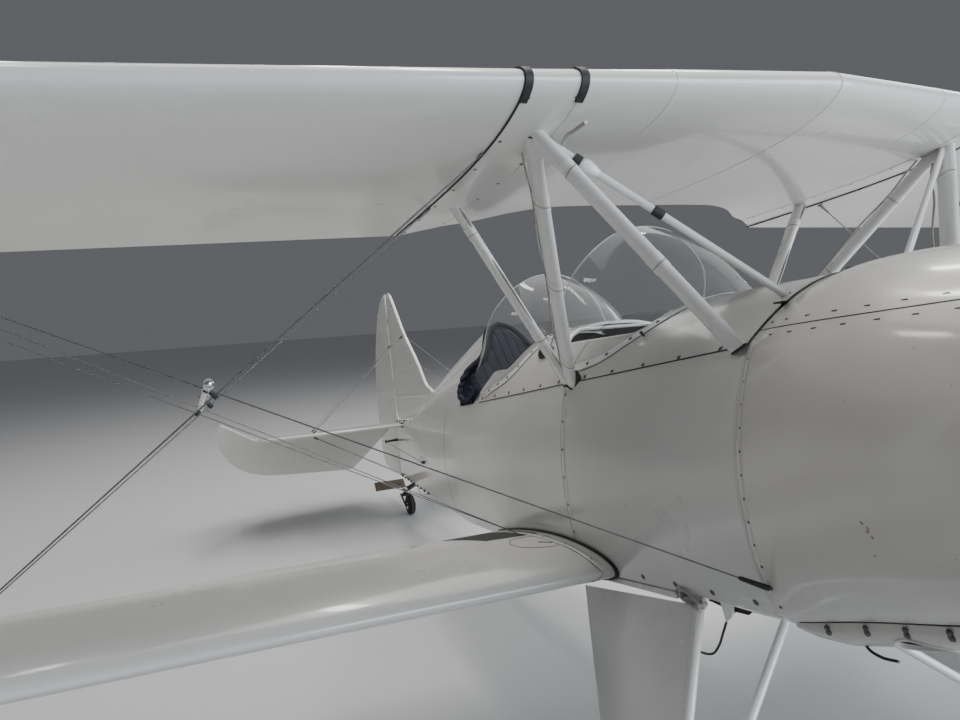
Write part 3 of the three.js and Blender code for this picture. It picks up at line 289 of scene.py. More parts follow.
def loose(name, part):
    """Object of one (vertices, faces) pair, with its normals facing out."""
    verts, faces = part
    mesh = bpy.data.meshes.new(name)
    mesh.from_pydata(to_world(verts).tolist(), [], faces)
    edit = bmesh.new()
    edit.from_mesh(mesh)
    bmesh.ops.recalc_face_normals(edit, faces=edit.faces)
    edit.to_mesh(mesh)
    edit.free()
    return new_object(name, mesh)


def piece(name, parts, material, body="airframe", smooth=38):
    """Named object on a body, from one (vertices, faces) pair or a list of them."""
    if isinstance(parts, tuple):
        parts = [parts]
    verts, faces, start = [], [], 0
    for part_verts, part_faces in parts:
        verts.append(np.asarray(part_verts, float))
        faces += [tuple(i + start for i in face) for face in part_faces]
        start += len(part_verts)
    made = loose(name, (np.concatenate(verts), faces))
    made.data.materials.append(material)
    if smooth:
        made.data.shade_smooth()
        made.data.set_sharp_from_angle(angle=math.radians(smooth))
    if body:
        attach(made, body)
    return made


def ribbons(name, parts, material):
    """Piece of flat bands, kept smooth over their low edges."""
    return piece(name, parts, material, smooth=60)


def skin(name, parts, material, node_name=None, body="airframe", smooth=38):
    """Piece in the place of a CAD node where one is named; that node is hidden."""
    made = piece(name, parts, material, body, smooth)
    if node_name:
        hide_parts(node_name)
    return made


def loft(rings, caps=True):
    rings = np.asarray(rings, float)
    rows, count = rings.shape[:2]
    faces = []
    for r in range(rows - 1):
        for i in range(count):
            j = (i + 1) % count
            faces.append((r * count + i, r * count + j, (r + 1) * count + j, (r + 1) * count + i))
    if caps:
        faces.append(tuple(range(count))[::-1])
        faces.append(tuple((rows - 1) * count + i for i in range(count)))
    return rings.reshape(-1, 3), faces


def skin_faces(rings):
    """Closed skin from rings that run along one face and back along the other."""
    rows, count = np.shape(rings)[:2]
    verts, faces = loft(rings, caps=False)
    for base in (0, (rows - 1) * count):
        for i in range(count // 2 - 1):
            faces.append((base + i, base + i + 1, base + count - 2 - i, base + count - 1 - i))
    return verts, faces


def shell(outer, inner):
    """Closed skin between an outer and an inner face of equal grids."""
    return skin_faces(np.concatenate([outer, inner[:, ::-1]], axis=1))


def smooth_row(table, y):
    """Row of numbers at y from a table whose first column is y, on a smooth curve."""
    table = np.asarray(table, float)
    ys = table[:, 0]
    k = int(np.clip(np.searchsorted(ys, y) - 1, 0, len(ys) - 2))
    slopes = np.gradient(table[:, 1:], ys, axis=0)
    step = ys[k + 1] - ys[k]
    t = float(np.clip((y - ys[k]) / step, 0, 1))
    a, b = table[k, 1:], table[k + 1, 1:]
    return ((2 * t ** 3 - 3 * t ** 2 + 1) * a + (t ** 3 - 2 * t ** 2 + t) * step * slopes[k]
            + (-2 * t ** 3 + 3 * t ** 2) * b + (t ** 3 - t ** 2) * step * slopes[k + 1])


def run_of(points):
    """Length along a line at each of its points."""
    return np.concatenate([[0], np.cumsum(np.linalg.norm(np.diff(points, axis=0), axis=1))])


def curve(points, count=40):
    """Smooth curve through the points, evenly stepped."""
    run = run_of(points)
    table = np.column_stack([run, points])
    return np.array([smooth_row(table, s) for s in np.linspace(0, run[-1], count)])


def tube(path, radius, sides=10, flat=1.0, caps=True):
    """Round tube along a path, its frames carried along without twist."""
    path = np.asarray(path, float)
    radii = np.broadcast_to(np.asarray(radius, float), (len(path),))
    tangents = unit(np.gradient(path, axis=0))
    side = unit(np.cross(tangents[0], (0.31, 0.17, 0.93)))
    angles = around(sides)
    rings = []
    for centre, along, r in zip(path, tangents, radii):
        side = unit(side - along * np.dot(side, along))
        other = np.cross(along, side)
        rings.append(centre + r * (np.outer(np.cos(angles), side)
                                   + flat * np.outer(np.sin(angles), other)))
    return loft(rings, caps=caps)


def rod(a, b, radius, sides=12, steps=2):
    return tube(np.linspace(a, b, steps), radius, sides)


def stepped(start, way, stops, radii, sides):
    """Tube along a straight line, with a radius at each distance from its start."""
    return tube([start + way * s for s in stops], radii, sides)


def arc(centre, radius, lift, count):
    """Level circle about a centre, with a height above it."""
    return [(centre[0] + radius * math.cos(a), centre[1] + radius * math.sin(a), centre[2] + lift)
            for a in around(count)]


def ball(centre, radius, rows, sides):
    tilts = [math.pi * (k / rows - 0.5) for k in range(rows + 1)]
    return loft([arc(centre, radius * math.cos(a), radius * math.sin(a), sides) for a in tilts])


def box(low, high):
    (x0, y0, z0), (x1, y1, z1) = low, high
    return loft([[(x0, y0, z), (x1, y0, z), (x1, y1, z), (x0, y1, z)] for z in (z0, z1)])


def domes(places, normals, radius, height, sides=8):
    """Screw heads: low domes at the places, facing along the normals."""
    parts = []
    angles = around(sides)
    for place, normal in zip(np.asarray(places, float), unit(normals)):
        side = unit(np.cross(normal, (0.3, 0.9, 0.2)))
        ring = np.outer(np.cos(angles), side) + np.outer(np.sin(angles), np.cross(normal, side))
        parts.append(loft([place + ring * radius - normal * 0.001,
                           place + ring * radius + normal * height * 0.4,
                           place + ring * radius * 0.6 + normal * height]))
    return parts


def strip(points, normals, width, height, sink=0.0006):
    """Thin band along a line on a surface; its width lies across line and normal."""
    points, normals = np.asarray(points, float), unit(normals)
    across = unit(np.cross(np.gradient(points, axis=0), normals)) * width / 2
    return loft(np.stack([points - across - normals * sink, points - across * 0.9 + normals * height,
                          points + across * 0.9 + normals * height, points + across - normals * sink],
                         axis=1))


def spaced(points, normals, step, inset=0.0):
    """Places every step metres along a line, with their normals."""
    run = run_of(points)
    count = max(2, int(round((run[-1] - 2 * inset) / step)) + 1)
    at = np.linspace(inset, run[-1] - inset, count)
    return [np.column_stack([np.interp(at, run, np.asarray(values)[:, k]) for k in range(3)])
            for values in (points, normals)]


def settle(made):
    """Applies what the object's modifiers give and clears them."""
    bpy.context.view_layer.update()
    graph = bpy.context.evaluated_depsgraph_get()
    mesh = bpy.data.meshes.new_from_object(made.evaluated_get(graph))
    made.modifiers.clear()
    made.data = mesh


def cut(target, cutters):
    """Takes the cutters' solids out of the target and deletes them."""
    for cutter in cutters:
        change = target.modifiers.new("cut", "BOOLEAN")
        change.object = cutter
        change.operation = "DIFFERENCE"
        change.solver = "EXACT"
    settle(target)
    target.data.set_sharp_from_angle(angle=math.radians(38))
    for cutter in cutters:
        bpy.data.objects.remove(cutter)


# Wings
UPPER = dict(nose_y=-0.031, sweep=0.1267, chord=1.129, nose_z=0.609, incidence=0.0749,
             thickness=0.12, camber=0.012, dihedral=0.0107, half=3.64)
LOWER = dict(nose_y=0.649, sweep=0.0, chord=0.9545, nose_z=-0.631, incidence=0.022,
             thickness=0.118, camber=0.012, dihedral=0.0123, half=3.48)
CENTRE_HALF, JOINT_OUT, SEAM = 0.65, 0.79, 0.0003
CENTRE_TAILS = [(0, 0.849), (0.21, 0.862), (0.35, 0.884), (0.45, 0.936), (0.57, 1.038), (0.65, 1.084)]
TIP = [(0.42, 1, 0, 1), (0.2, 0.95, 0.035, 0.9), (0.08, 0.8, 0.12, 0.62), (0.02, 0.6, 0.22, 0.32),
       (0, 0.44, 0.3, 0.12)]
HINGE_SHARE = 0.76
AILERON = dict(inner=1.65, outer=3.02, y=LOWER["nose_y"] + LOWER["chord"] * HINGE_SHARE, gap=0.009)


def wing_point(wing, x, share, top, chord=None, shift=0.0, scale=1.0, lift=0.0):
    """Point of a wing's surface at station x and chord share, on its top or underside."""
    chord = chord or wing["chord"]
    reach = abs(x)
    s = min(max(share, 0.0), 1.0)
    thickness = wing["thickness"] * wing["chord"] / chord * scale
    t = 5 * thickness * (0.2969 * math.sqrt(s) - 0.126 * s - 0.3516 * s * s
                         + 0.2843 * s ** 3 - 0.1015 * s ** 4)
    up = (4 * wing["camber"] * s * (1 - s) + (t if top else -t)) * chord
    along = s * chord
    return np.array((x, wing["nose_y"] + wing["sweep"] * reach + shift + along,
                     wing["nose_z"] + wing["dihedral"] * reach + up - wing["incidence"] * along
                     + (lift if top else -lift)))


def wing_ring(wing, x, steps=34, **options):
    shares = [(1 + math.cos(i / steps * math.pi)) / 2 for i in range(steps + 1)]
    return np.array([wing_point(wing, x, s, True, **options) for s in shares]
                    + [wing_point(wing, x, s, False, **options) for s in reversed(shares[:-1])])


def panel(wing, side, start, count):
    """Outer wing panel: full sections out to the tip, then the rounded tip."""
    first = wing["half"] - TIP[0][0]
    rings = [wing_ring(wing, side * x) for x in np.linspace(start, first, count)[:-1]]
    table = [(wing["half"] - inset, chord, shift, scale * chord) for inset, chord, shift, scale in TIP]
    for share in np.sin(np.linspace(0, math.pi / 2, 15)):
        x = lerp(first, wing["half"], share)
        chord, shift, scale = smooth_row(table, x)
        rings.append(wing_ring(wing, side * x, chord=wing["chord"] * chord,
                               shift=wing["chord"] * shift, scale=scale))
    return loft(rings)


def chord_line(wing, x, top, share_a, share_b, count=60, **options):
    """Points and normals along the chord at station x."""
    shares = np.linspace(math.sqrt(share_a), math.sqrt(share_b), count) ** 2

    def row(x, ahead=0.0):
        return np.array([wing_point(wing, x, s + ahead, top, **options) for s in shares])
    points = row(x)
    normals = unit(np.cross(row(x + 0.01) - points, row(x, 0.002) - row(x, -0.002)))
    return points, normals if top else -normals


def centre_chord(x):
    return smooth_row(CENTRE_TAILS, x)[0] - UPPER["nose_y"] - UPPER["sweep"] * x


def upper_wing():
    half = CENTRE_HALF - SEAM
    rings = [wing_ring(UPPER, x, chord=centre_chord(abs(x))) for x in np.linspace(-half, half, 45)]
    skin("upper_centre_skin", loft(rings), COVER, "upper_center_section")
    root_chord = centre_chord(CENTRE_HALF)
    for name, side in SIDES:
        rings = [wing_ring(UPPER, side * lerp(CENTRE_HALF, JOINT_OUT - SEAM, t),
                           chord=lerp(root_chord, UPPER["chord"], t)) for t in np.linspace(0, 1, 5)]
        skin(f"upper_joint_skin_{name}", loft(rings), COVER, f"wing_joint_{name}")
        skin(f"upper_panel_skin_{name}", panel(UPPER, side, JOINT_OUT, 30), COVER, f"upper_wing_{name}")
        joint_trim(name, side, root_chord)
    ribbons("upper_centre_line", [strip(*chord_line(UPPER, 0.0, top, 0.0, 1.0, chord=0.88), 0.004, 0.0006)
                                  for top in (True, False)], TAPE)


def joint_trim(name, side, root_chord):
    """Overlapping edges, screws and rubber leading-edge bands of a wing joint."""
    edges, screws, bands, seams = [], [], [], []
    for x, chord, out in ((CENTRE_HALF, root_chord, 1), (JOINT_OUT, UPPER["chord"], -1)):
        def line_at(shift, top, start, stop, *count):
            return chord_line(UPPER, side * (x + shift), top, start, stop, *count, chord=chord)
        for top in (True, False):
            edges.append(strip(*line_at(0.004 * out, top, 0.0, 0.985), 0.012, 0.0012))
            if out < 0:
                inset = 0.028 if side > 0 and not top else -0.0025
                seams.append(strip(*line_at(-inset, top, 0.0, 0.99), 0.0046, 0.0030))
            screws += domes(*spaced(*line_at(0.014 * out, top, 0.03, 0.95), 0.165), 0.005, 0.002)
        over, under = (line_at(0.006 * out, top, 0.0, 0.04, 26) for top in (True, False))
        line, normals = (np.concatenate([a[::-1], b[1:]]) for a, b in zip(over, under))
        bands.append(strip(line, normals, 0.020, 0.0045, 0.002))
    ribbons(f"upper_joint_edges_{name}", edges, COVER)
    piece(f"upper_joint_screws_{name}", screws, FASTENER)
    # The joint's seam strips are painted shade along its gaps
    ribbons(f"upper_joint_seam_{name}", seams, GAP_SHADE)
    ribbons(f"upper_joint_rubber_{name}", bands, RUBBER)


def lower_wing():
    for name, side in SIDES:
        made = skin(f"lower_panel_skin_{name}", panel(LOWER, side, 0.30, 28), COVER)
        inner, outer = sorted((side * AILERON["inner"], side * AILERON["outer"]))
        front = AILERON["y"] - 0.024 - AILERON["gap"]
        cut(made, [loose("bay", box((inner, front, -0.9), (outer, 1.8, -0.3))),
                   loose("root", loft([hull_outline(y, -0.0006) for y in np.linspace(-0.06, 2.0, 40)]))])
        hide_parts(f"lower_wing_{name}")


def ailerons():
    nose = 0.0228
    for name, side in SIDES:
        rings = []
        for x in np.linspace(AILERON["inner"] + 0.003, AILERON["outer"] - 0.003, 30):
            hinge = (LOWER["nose_z"] + LOWER["dihedral"] * x
                     - LOWER["incidence"] * LOWER["chord"] * HINGE_SHARE + 0.006)
            shares = np.linspace(1, 0.79, 12)
            rings.append([wing_point(LOWER, side * x, s, True) for s in shares]
                         + [(side * x, AILERON["y"] + nose * math.cos(a), hinge + nose * math.sin(a))
                            for a in np.radians(np.linspace(70, 290, 16))]
                         + [wing_point(LOWER, side * x, s, False) for s in shares[:0:-1]])
        skin(f"aileron_skin_{name}", loft(rings), COVER, f"aileron_{name}", body=f"aileron_{name}")


# Fuselage
HULL = [  # y, top, bulge, low, corner z, belly z
    (0, 0.346, 0.420, 0.350, -0.600, -0.652), (0.86, 0.360, 0.408, 0.360, -0.664, -0.706),
    (2.0, 0.352, 0.392, 0.345, -0.668, -0.706), (3.2, 0.200, 0.222, 0.190, -0.670, -0.698),
    (4.4, 0.032, 0.036, 0.032, -0.674, -0.684)]
DECK = [(0, 0.156, 1.9), (0.47, 0.166, 2.2), (0.86, 0.164, 2.8), (1.75, 0.158, 3.0)]
TURTLE = [  # y, deck rise, hump rise, hump half width, slant
    (1.96, 0.235, 0.180, 0.162, 0.75), (2.3, 0.200, 0.155, 0.158, 0.75), (3.0, 0.125, 0.114, 0.122, 0.4),
    (3.56, 0.030, 0.105, 0.070, 0)]
COCKPITS = [(0.25, 0.52, 1.08, 0.09), (0.285, 1.42, 1.90, 0.10)]
LONGERON_SLOPE = -0.06


def hull_row(y):
    table = np.asarray(HULL)
    return [np.interp(y, table[:, 0], table[:, k]) for k in range(1, 6)]


def hull_point(y, s, inset=0.0):
    """Point of the port half: s is 0 at the longeron, 1 at the corner and 2 at the keel."""
    top, bulge, low, corner, belly = hull_row(y)
    top_z = LONGERON_SLOPE * y
    start = np.array((top - inset, top_z))
    end = np.array((low - inset, corner + inset * 0.6))
    middle = np.array((bulge - inset, (top_z + corner) / 2))
    control = 2 * middle - (start + end) / 2
    if s <= 1:
        x, z = (1 - s) ** 2 * start + 2 * s * (1 - s) * control + s * s * end
    else:
        u = 2 - s
        x = end[0] * u
        z = end[1] + (belly + inset - end[1]) * math.sqrt(max(0.0, 1 - u ** 3))
    return np.array((x, y, z))


def hull_at(y, s, side):
    """Point and outward normal of the hull."""
    a = hull_point(y, s + 0.01) - hull_point(y, max(0, s - 0.01))
    b = hull_point(y + 0.01, s) - hull_point(y - 0.01, s)
    n = unit(np.cross(a, b))
    return mirrored(hull_point(y, s), side), mirrored(n if n[0] > 0 else -n, side)


def hull_outline(y, inset=0.0):
    """Open outline from the port longeron round the keel to the starboard one."""
    half = [hull_point(y, s, inset) for s in np.linspace(0, 1, 17)]
    half += [hull_point(y, 1 + s, inset) for s in np.sin(np.linspace(0, math.pi / 2, 10))[1:]]
    return np.array(half + [p * (-1, 1, 1) for p in half[-2::-1]])


def hull_reach(y, z):
    """Half breadth of the hull at a length and height."""
    points = np.array([hull_point(y, s) for s in np.linspace(0, 1, 40)])
    return float(np.interp(-z, -points[:, 2], points[:, 0]))


def deck_point(y, u, inset=0.0):
    """Point of the deck at a length and a share of its half width."""
    crown, power = smooth_row(DECK, y)
    base = LONGERON_SLOPE * y + SEAM
    return np.array((u * (hull_row(y)[0] - inset), y,
                     base + (crown - inset - base) * (1 - abs(u) ** power)))


def deck_at(y, u):
    """Point and upward normal of the deck."""
    a = deck_point(y, min(u + 0.01, 1)) - deck_point(y, max(u - 0.01, -1))
    b = deck_point(y + 0.01, u) - deck_point(y - 0.01, u)
    n = unit(np.cross(b, a))
    return deck_point(y, u), n * (1 if n[2] > 0 else -1)


def deck_outline(y, inset=0.0):
    return np.array([deck_point(y, u, inset) for u in np.sin(np.linspace(-math.pi / 2, math.pi / 2, 37))])


def turtle_ring(y, inset=0.0):
    """Ring of the low deck behind the rear cockpit, with its headrest hump."""
    deck, hump, width, slant = smooth_row(TURTLE, y)
    half = hull_row(y)[0] - 0.002 - inset
    base = LONGERON_SLOPE * y + SEAM
    ring = []
    for u in np.concatenate([np.linspace(-1, -0.6, 17)[:-1], np.linspace(-0.6, 0.6, 49),
                             np.linspace(0.6, 1, 17)[1:]]):
        u = math.copysign(abs(math.sin(u * math.pi / 2)), u)
        crest = max(0.0, 1 - (u * half / (width - inset)) ** 2) ** 1.4
        rise = (deck - inset) * (1 - abs(u) ** 4) + hump * crest
        ring.append((u * half, y + slant * rise, base + rise + LONGERON_SLOPE * slant * rise))
    return np.array(ring)


def rounded(x0, x1, y0, y1, corner, steps):
    """Flat rectangle with round corners."""
    return [(cx + corner * math.cos(a), cy + corner * math.sin(a))
            for cx, cy, start in ((x1 - corner, y0 + corner, -90), (x1 - corner, y1 - corner, 0),
                                  (x0 + corner, y1 - corner, 90), (x0 + corner, y0 + corner, 180))
            for a in np.radians(start + 90 * np.linspace(0, 1, steps + 1))]


def walled(outline, y0, y1, count, thickness):
    """Closed wall between an outline and the same one inset, over a length."""
    ys = np.linspace(y0, y1, count)
    return shell(*(np.array([outline(y, inset) for y in ys]) for inset in (0.0, thickness)))


def fuselage():
    for name, y0, y1 in (("forward", 0.0083, 0.8597), ("middle", 0.86, 2.25)):
        made = skin(f"{name}_fuselage_skin", walled(hull_outline, y0, y1, 24, 0.020), COVER,
                    f"{name}_fuselage")
        made.data.materials.append(INNER)
        flip_inner(made)
    skin("aft_fuselage_skin", loft([hull_outline(y) for y in np.linspace(2.2503, 4.4, 40)]), COVER,
         "aft_fuselage")
    front, back = TURTLE[0][0], TURTLE[-1][0]
    skin("turtledeck_skin", loft([turtle_ring(y) for y in np.linspace(front, back, 34)]), COVER,
         "turtledeck")
    piece("turtledeck_lining", loft([turtle_ring(front, 0.003) - (0, d, 0) for d in (0.013, 0.001)]), NAVY)
    for name, y0, y1 in (("front", 0.0083, 0.8597), ("rear", 0.86, 1.76)):
        made = skin(f"{name}_deck_skin", walled(deck_outline, y0, y1, 22, 0.011), SHELL, f"{name}_deck")
        cutters = [loose(f"hole{k}", loft([[(x, y, z) for x, y in rounded(-half, half, a, b, corner, 10)]
                                           for z in (-0.09, 0.4)]))
                   for k, (half, a, b, corner) in enumerate(COCKPITS)]
        if name == "rear":
            profile = [(1.6, 0.3), (1.6, 0.07), (1.68, -0.02), (1.745, -0.082), (1.8, -0.14), (1.8, 0.3)]
            cutters.append(loose("sill", loft([[(x, y, z) for y, z in profile] for x in (-0.45, 0.45)])))
        cut(made, cutters)


def flip_inner(target):
    """Gives the faces on a skin's inner side its second material."""
    inverse = AIRFRAME.inverted()
    for face in target.data.polygons:
        centre = inverse @ face.center
        normal = inverse.to_3x3() @ face.normal
        if normal.dot(Vector((centre.x, 0, centre.z + 0.3))) < 0 and abs(normal.y) < 0.7:
            face.material_index = 1


# Cowling
COWL = [(-0.16, 0.438, 0.158, -0.658, 2.6), (-0.42, 0.452, 0.146, -0.600, 2.5),
        (-0.72, 0.432, 0.096, -0.538, 2.35), (-0.90, 0.376, 0.018, -0.476, 2.2),
        (-0.985, 0.318, -0.050, -0.422, 2.1), (-1.02, 0.268, -0.090, -0.384, 2.1)]
COWL_NOSE = [(-1.029, 0.93), (-1.032, 0.8), (-1.031, 0.55)]
COWL_CENTRE = -0.245
COWL_SEAM_Z = 0.030
COWL_ANGLES = np.linspace(-math.pi, math.pi, 120, endpoint=False)
SIDE_ROWS = 36
PAN = dict(aft_z=-0.626, slope=-0.262)
PAN_DEPTH = ([0.0, 0.02, 0.05, 0.11, 0.3, 0.6, 0.8, 0.92],
             [0.032, 0.046, 0.063, 0.078, 0.078, 0.066, 0.054, 0.030])
OUTLET = dict(centre=(-0.292, -0.312), half=(0.021, 0.064))


def firewall_radius(angle):
    """Reach of the firewall's outline from the cowl's centre at an angle."""
    outline = np.concatenate([hull_outline(0.0), deck_outline(0.0)[1:-1]])
    x, z = outline[:, 0], outline[:, 2] - COWL_CENTRE
    order = np.argsort(np.arctan2(z, x))
    return np.interp(angle, np.arctan2(z, x)[order], np.hypot(x, z)[order], period=2 * np.pi)


def cowl_grid(rows=46):
    """Points of the cowl's outer face, from its rear edge forward."""
    cosines, sines = np.cos(COWL_ANGLES), np.sin(COWL_ANGLES)
    ys, reaches = [-SEAM], [firewall_radius(COWL_ANGLES)]
    for y, half, top, bottom, power in COWL:
        up = np.where(COWL_ANGLES > 0, top - COWL_CENTRE, COWL_CENTRE - bottom)
        reaches.append((np.abs(cosines / half) ** power + np.abs(sines / up) ** power) ** (-1 / power))
        ys.append(y)
    face = reaches[-1]
    for y, share in COWL_NOSE:
        reaches.append(face * share)
        ys.append(y)
    run = np.concatenate([[0], np.cumsum(np.hypot(np.diff(ys), np.diff(np.mean(reaches, axis=1))))])
    table = np.column_stack([run, ys, reaches])
    grid = [smooth_row(table, s) for s in np.linspace(0, run[-1], rows)]
    return np.array([np.column_stack([row[1:] * cosines, np.full(len(cosines), row[0]),
                                      COWL_CENTRE + row[1:] * sines]) for row in grid])


GRID = cowl_grid()


def cowl_row(y):
    """Ring of the cowl at a length, between its grid's rows."""
    side = GRID[:SIDE_ROWS]
    side = side[np.argsort(side[:, 0, 1])]
    k = int(np.clip(np.searchsorted(side[:, 0, 1], y), 1, len(side) - 1))
    a, b = side[k - 1], side[k]
    return lerp(a, b, (y - a[0, 1]) / (b[0, 1] - a[0, 1]))


def cowl_at(y, z, side):
    """Point and outward normal of the cowl's side at a length and height."""
    def place(y, z):
        row = cowl_row(y)
        row = row[np.abs(np.arctan2(row[:, 2] - COWL_CENTRE, row[:, 0])) < math.pi / 2]
        row = row[np.argsort(row[:, 2])]
        return np.array((np.interp(z, row[:, 2], row[:, 0]), y, z))
    a = place(y, z + 0.01) - place(y, z - 0.01)
    b = place(y + 0.01, z) - place(y - 0.01, z)
    n = unit(np.cross(a, b))
    return mirrored(place(y, z), side), mirrored(n if n[0] > 0 else -n, side)


def part_of(target, planes):
    """Cuts a mesh by planes (point, normal), keeping what is behind each normal."""
    edit = bmesh.new()
    edit.from_mesh(target.data)
    for point, normal in planes:
        bmesh.ops.bisect_plane(edit, geom=edit.verts[:] + edit.edges[:] + edit.faces[:], dist=1e-6,
                               plane_co=AIRFRAME @ Vector(point),
                               plane_no=AIRFRAME.to_3x3() @ Vector(normal), clear_outer=True)
    edit.to_mesh(target.data)
    edit.free()


def cowling():
    gap = 0.0006
    for name, planes in (("cowl_top", [((0, 0, COWL_SEAM_Z + gap), (0, 0, -1))]),
                         ("cowl_main", [((0, 0, COWL_SEAM_Z - gap), (0, 0, 1)),
                                        ((0, 0, PAN["aft_z"] + gap), (0, PAN["slope"], -1))])):
        made = skin(f"{name}_skin", loft(GRID, caps=False), SHELL, smooth=0)
        part_of(made, planes)
        wall = made.modifiers.new("wall", "SOLIDIFY")
        wall.thickness = 0.006
        wall.offset = -1
        settle(made)
        made.data.shade_smooth()
        made.data.set_sharp_from_angle(angle=math.radians(38))
        cutters = []
        if name == "cowl_main":
            cutters.append(loose("shaft", rod((0, -1.1, -0.235), (0, -0.9, -0.235), 0.09, 40)))
            for side in (1, -1):
                inlet = rounded(*sorted((0.118 * side, 0.238 * side)), -0.292, -0.178, 0.05, 6)
                cutters.append(loose("inlet", loft([[(x, y, z) for x, z in inlet] for y in (-1.1, -0.9)])))
        cut(made, cutters)
        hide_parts(name)


def pan_z(y):
    return PAN["aft_z"] + PAN["slope"] * y


def pan_ring(y):
    """Belly pan outline from the port edge under the keel to the starboard edge."""
    edge, _ = cowl_at(y, pan_z(y), 1)
    depth = float(np.interp(-y, *PAN_DEPTH))
    half = np.array([(edge[0] * math.cos(a) ** (2 / 3), y, edge[2] - depth * math.sin(a) ** (2 / 3))
                     for a in np.linspace(0, math.pi / 2, 22)])
    return np.concatenate([half, half[-2::-1] * (-1, 1, 1)])


def belly_pan():
    (x0, y0), (half_x, half_y) = OUTLET["centre"], OUTLET["half"]
    outer = np.array([pan_ring(y) for y in np.concatenate([[-0.0006], np.linspace(-0.02, -0.90, 40)])])
    made = skin("cowl_pan_skin", shell(outer, outer * (0.985, 1, 1) + (0, 0, 0.005)), SHELL)
    cut(made, [loose("outlet", loft([[(x0 + half_x * math.cos(a), y0 + half_y * math.sin(a), z)
                                      for a in around(32)] for z in (-0.76, -0.36)]))])
    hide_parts("cowl_belly")
    lip, grow = [], 0.003
    for a in np.linspace(0, 2 * np.pi, 40):
        x, y = x0 + (half_x + grow) * math.cos(a), y0 + (half_y + grow) * math.sin(a)
        half = pan_ring(y)[21::-1]
        lip.append((x, y, np.interp(-x, half[:, 0], half[:, 2]) - 0.001))
    piece("outlet_rim", tube(lip, 0.0028, 8, caps=False), TAPE)
    drain = curve([(-0.26, -0.135, -0.635), (-0.26, -0.149, -0.651), (-0.26, -0.174, -0.658),
                   (-0.26, -0.217, -0.655)], 16)
    piece("drain_tube", tube(drain, 0.0032), DARK)


# Lines on the body, with their seams and screws
def line_on(surface, places):
    """Points and normals of a surface at a row of places."""
    points, normals = zip(*[surface(*place) for place in places])
    return np.array(points), np.array(normals)


def deck_path(y, u0, u1, count=40):
    return line_on(deck_at, [(y, u) for u in np.sin(np.linspace(math.asin(u0), math.asin(u1), count))])


def deck_along(u, y0, y1):
    return line_on(deck_at, [(y, u) for y in np.linspace(y0, y1, 30)])


def hull_along(s, side, y0, y1):
    return line_on(hull_at, [(y, s, side) for y in np.linspace(y0, y1, 30)])


def hull_down(y, side, s0=0.0, s1=1.0):
    return line_on(hull_at, [(y, s, side) for s in np.linspace(s0, s1, 30)])


def body_trim():
    seams, overlaps, screws, rims = [], [], [], []
    for side in (1, -1):
        for y0, y1, step in ((0.10, 0.74, 0.158), (0.92, 1.66, 0.145)):
            points, _ = deck_along(side * 0.99999, y0 - 0.05, y1 + 0.03)
            ways = np.array([(side * 0.93, 0, 0.36)] * len(points))
            seams.append(strip(points + ways * 0.0004 - (0, 0, 0.001), ways, 0.0036, 0.0012))
            screws += domes(*spaced(*deck_along(side * 0.982, y0, y1), step), 0.0068, 0.003)
        seams.append(strip(*hull_down(0.8585, side), 0.0028, 0.0006))
        overlaps.append(strip(*hull_down(0.845, side), 0.026, 0.0011))
        screws += domes(*spaced(*hull_down(0.848, side, 0.06, 0.93), 0.098), 0.0052, 0.0026)
        screws += domes(*spaced(*hull_along(0.965, side, 0.058, 0.513), 0.15), 0.0082, 0.0022)
        screws += domes(*spaced(*hull_along(0.985, side, 2.3, 4.36), 0.26), 0.004, 0.0016)
        seams.append(strip(*hull_down(2.25, side), 0.002, 0.0005))
        rims.append(strip(*hull_down(0.004, side), 0.009, 0.0004, 0.003))
    seams.append(strip(*deck_path(0.8598, -0.99, 0.99), 0.003, 0.0006))
    # Seam strips along the deck edges and panel joins are painted shadow lines
    ribbons("body_seams", seams, GAP_SHADE)
    ribbons("body_overlaps", overlaps, COVER)
    piece("body_screws", screws, FASTENER)
    ribbons("firewall_seal", strip(*deck_path(0.0035, -0.999, 0.999, 60), 0.011, 0.0016, 0.004), RUBBER)
    ribbons("firewall_edge", rims, SHELL)
    clips = [box((x - 0.012, -0.010, z + 0.002), (x + 0.012, 0.016, z + 0.006)) for x, z in
             ((-0.235, 0.0865), (0.235, 0.0865), (0.0, 0.158))]
    piece("deck_clips", clips, DARK, smooth=0)
    scratch = curve([(-0.4096, 0.4689, -0.4148), (-0.4110, 0.447, -0.4025), (-0.4121, 0.4254, -0.3901)], 6)
    ribbons("hull_scratch", strip(scratch, [(-1, 0, -0.09)] * 6, 0.0022, 0.0004), TAPE)


# Windshields, cockpit rims and deck fittings
SHIELDS = (
    ("front", 0.095, [(-0.33, 0.9, -0.04), (-0.285, 0.64, 0.03), (-0.15, 0.48, 0.12), (0, 0.452, 0.13)],
     [(-0.322, 1.01, 0.096), (-0.262, 0.88, 0.33), (-0.12, 0.84, 0.44), (0, 0.83, 0.462)]),
    ("rear", 0.085, [(-0.335, 1.64, -0.084), (-0.27, 1.36, 0.02), (-0.12, 1.262, 0.12), (0, 1.248, 0.13)],
     [(-0.338, 1.69, 0.06), (-0.25, 1.64, 0.3), (-0.11, 1.6, 0.41), (0, 1.592, 0.432)]))


def whole_line(half):
    half = np.asarray(half, float)
    return curve(np.concatenate([half, half[-2::-1] * (-1, 1, 1)]), 61)


def deck_under(point, lift=0.0):
    """The deck's point and normal over a place given by x and y."""
    x, y = point[0], min(point[1], 1.755)
    place, normal = deck_at(y, np.clip(x / hull_row(y)[0], -0.9995, 0.9995))
    return place + normal * lift, normal


def facing_forward(ways):
    return ways * np.where(ways[:, 1] > 0, -1, 1)[:, None]


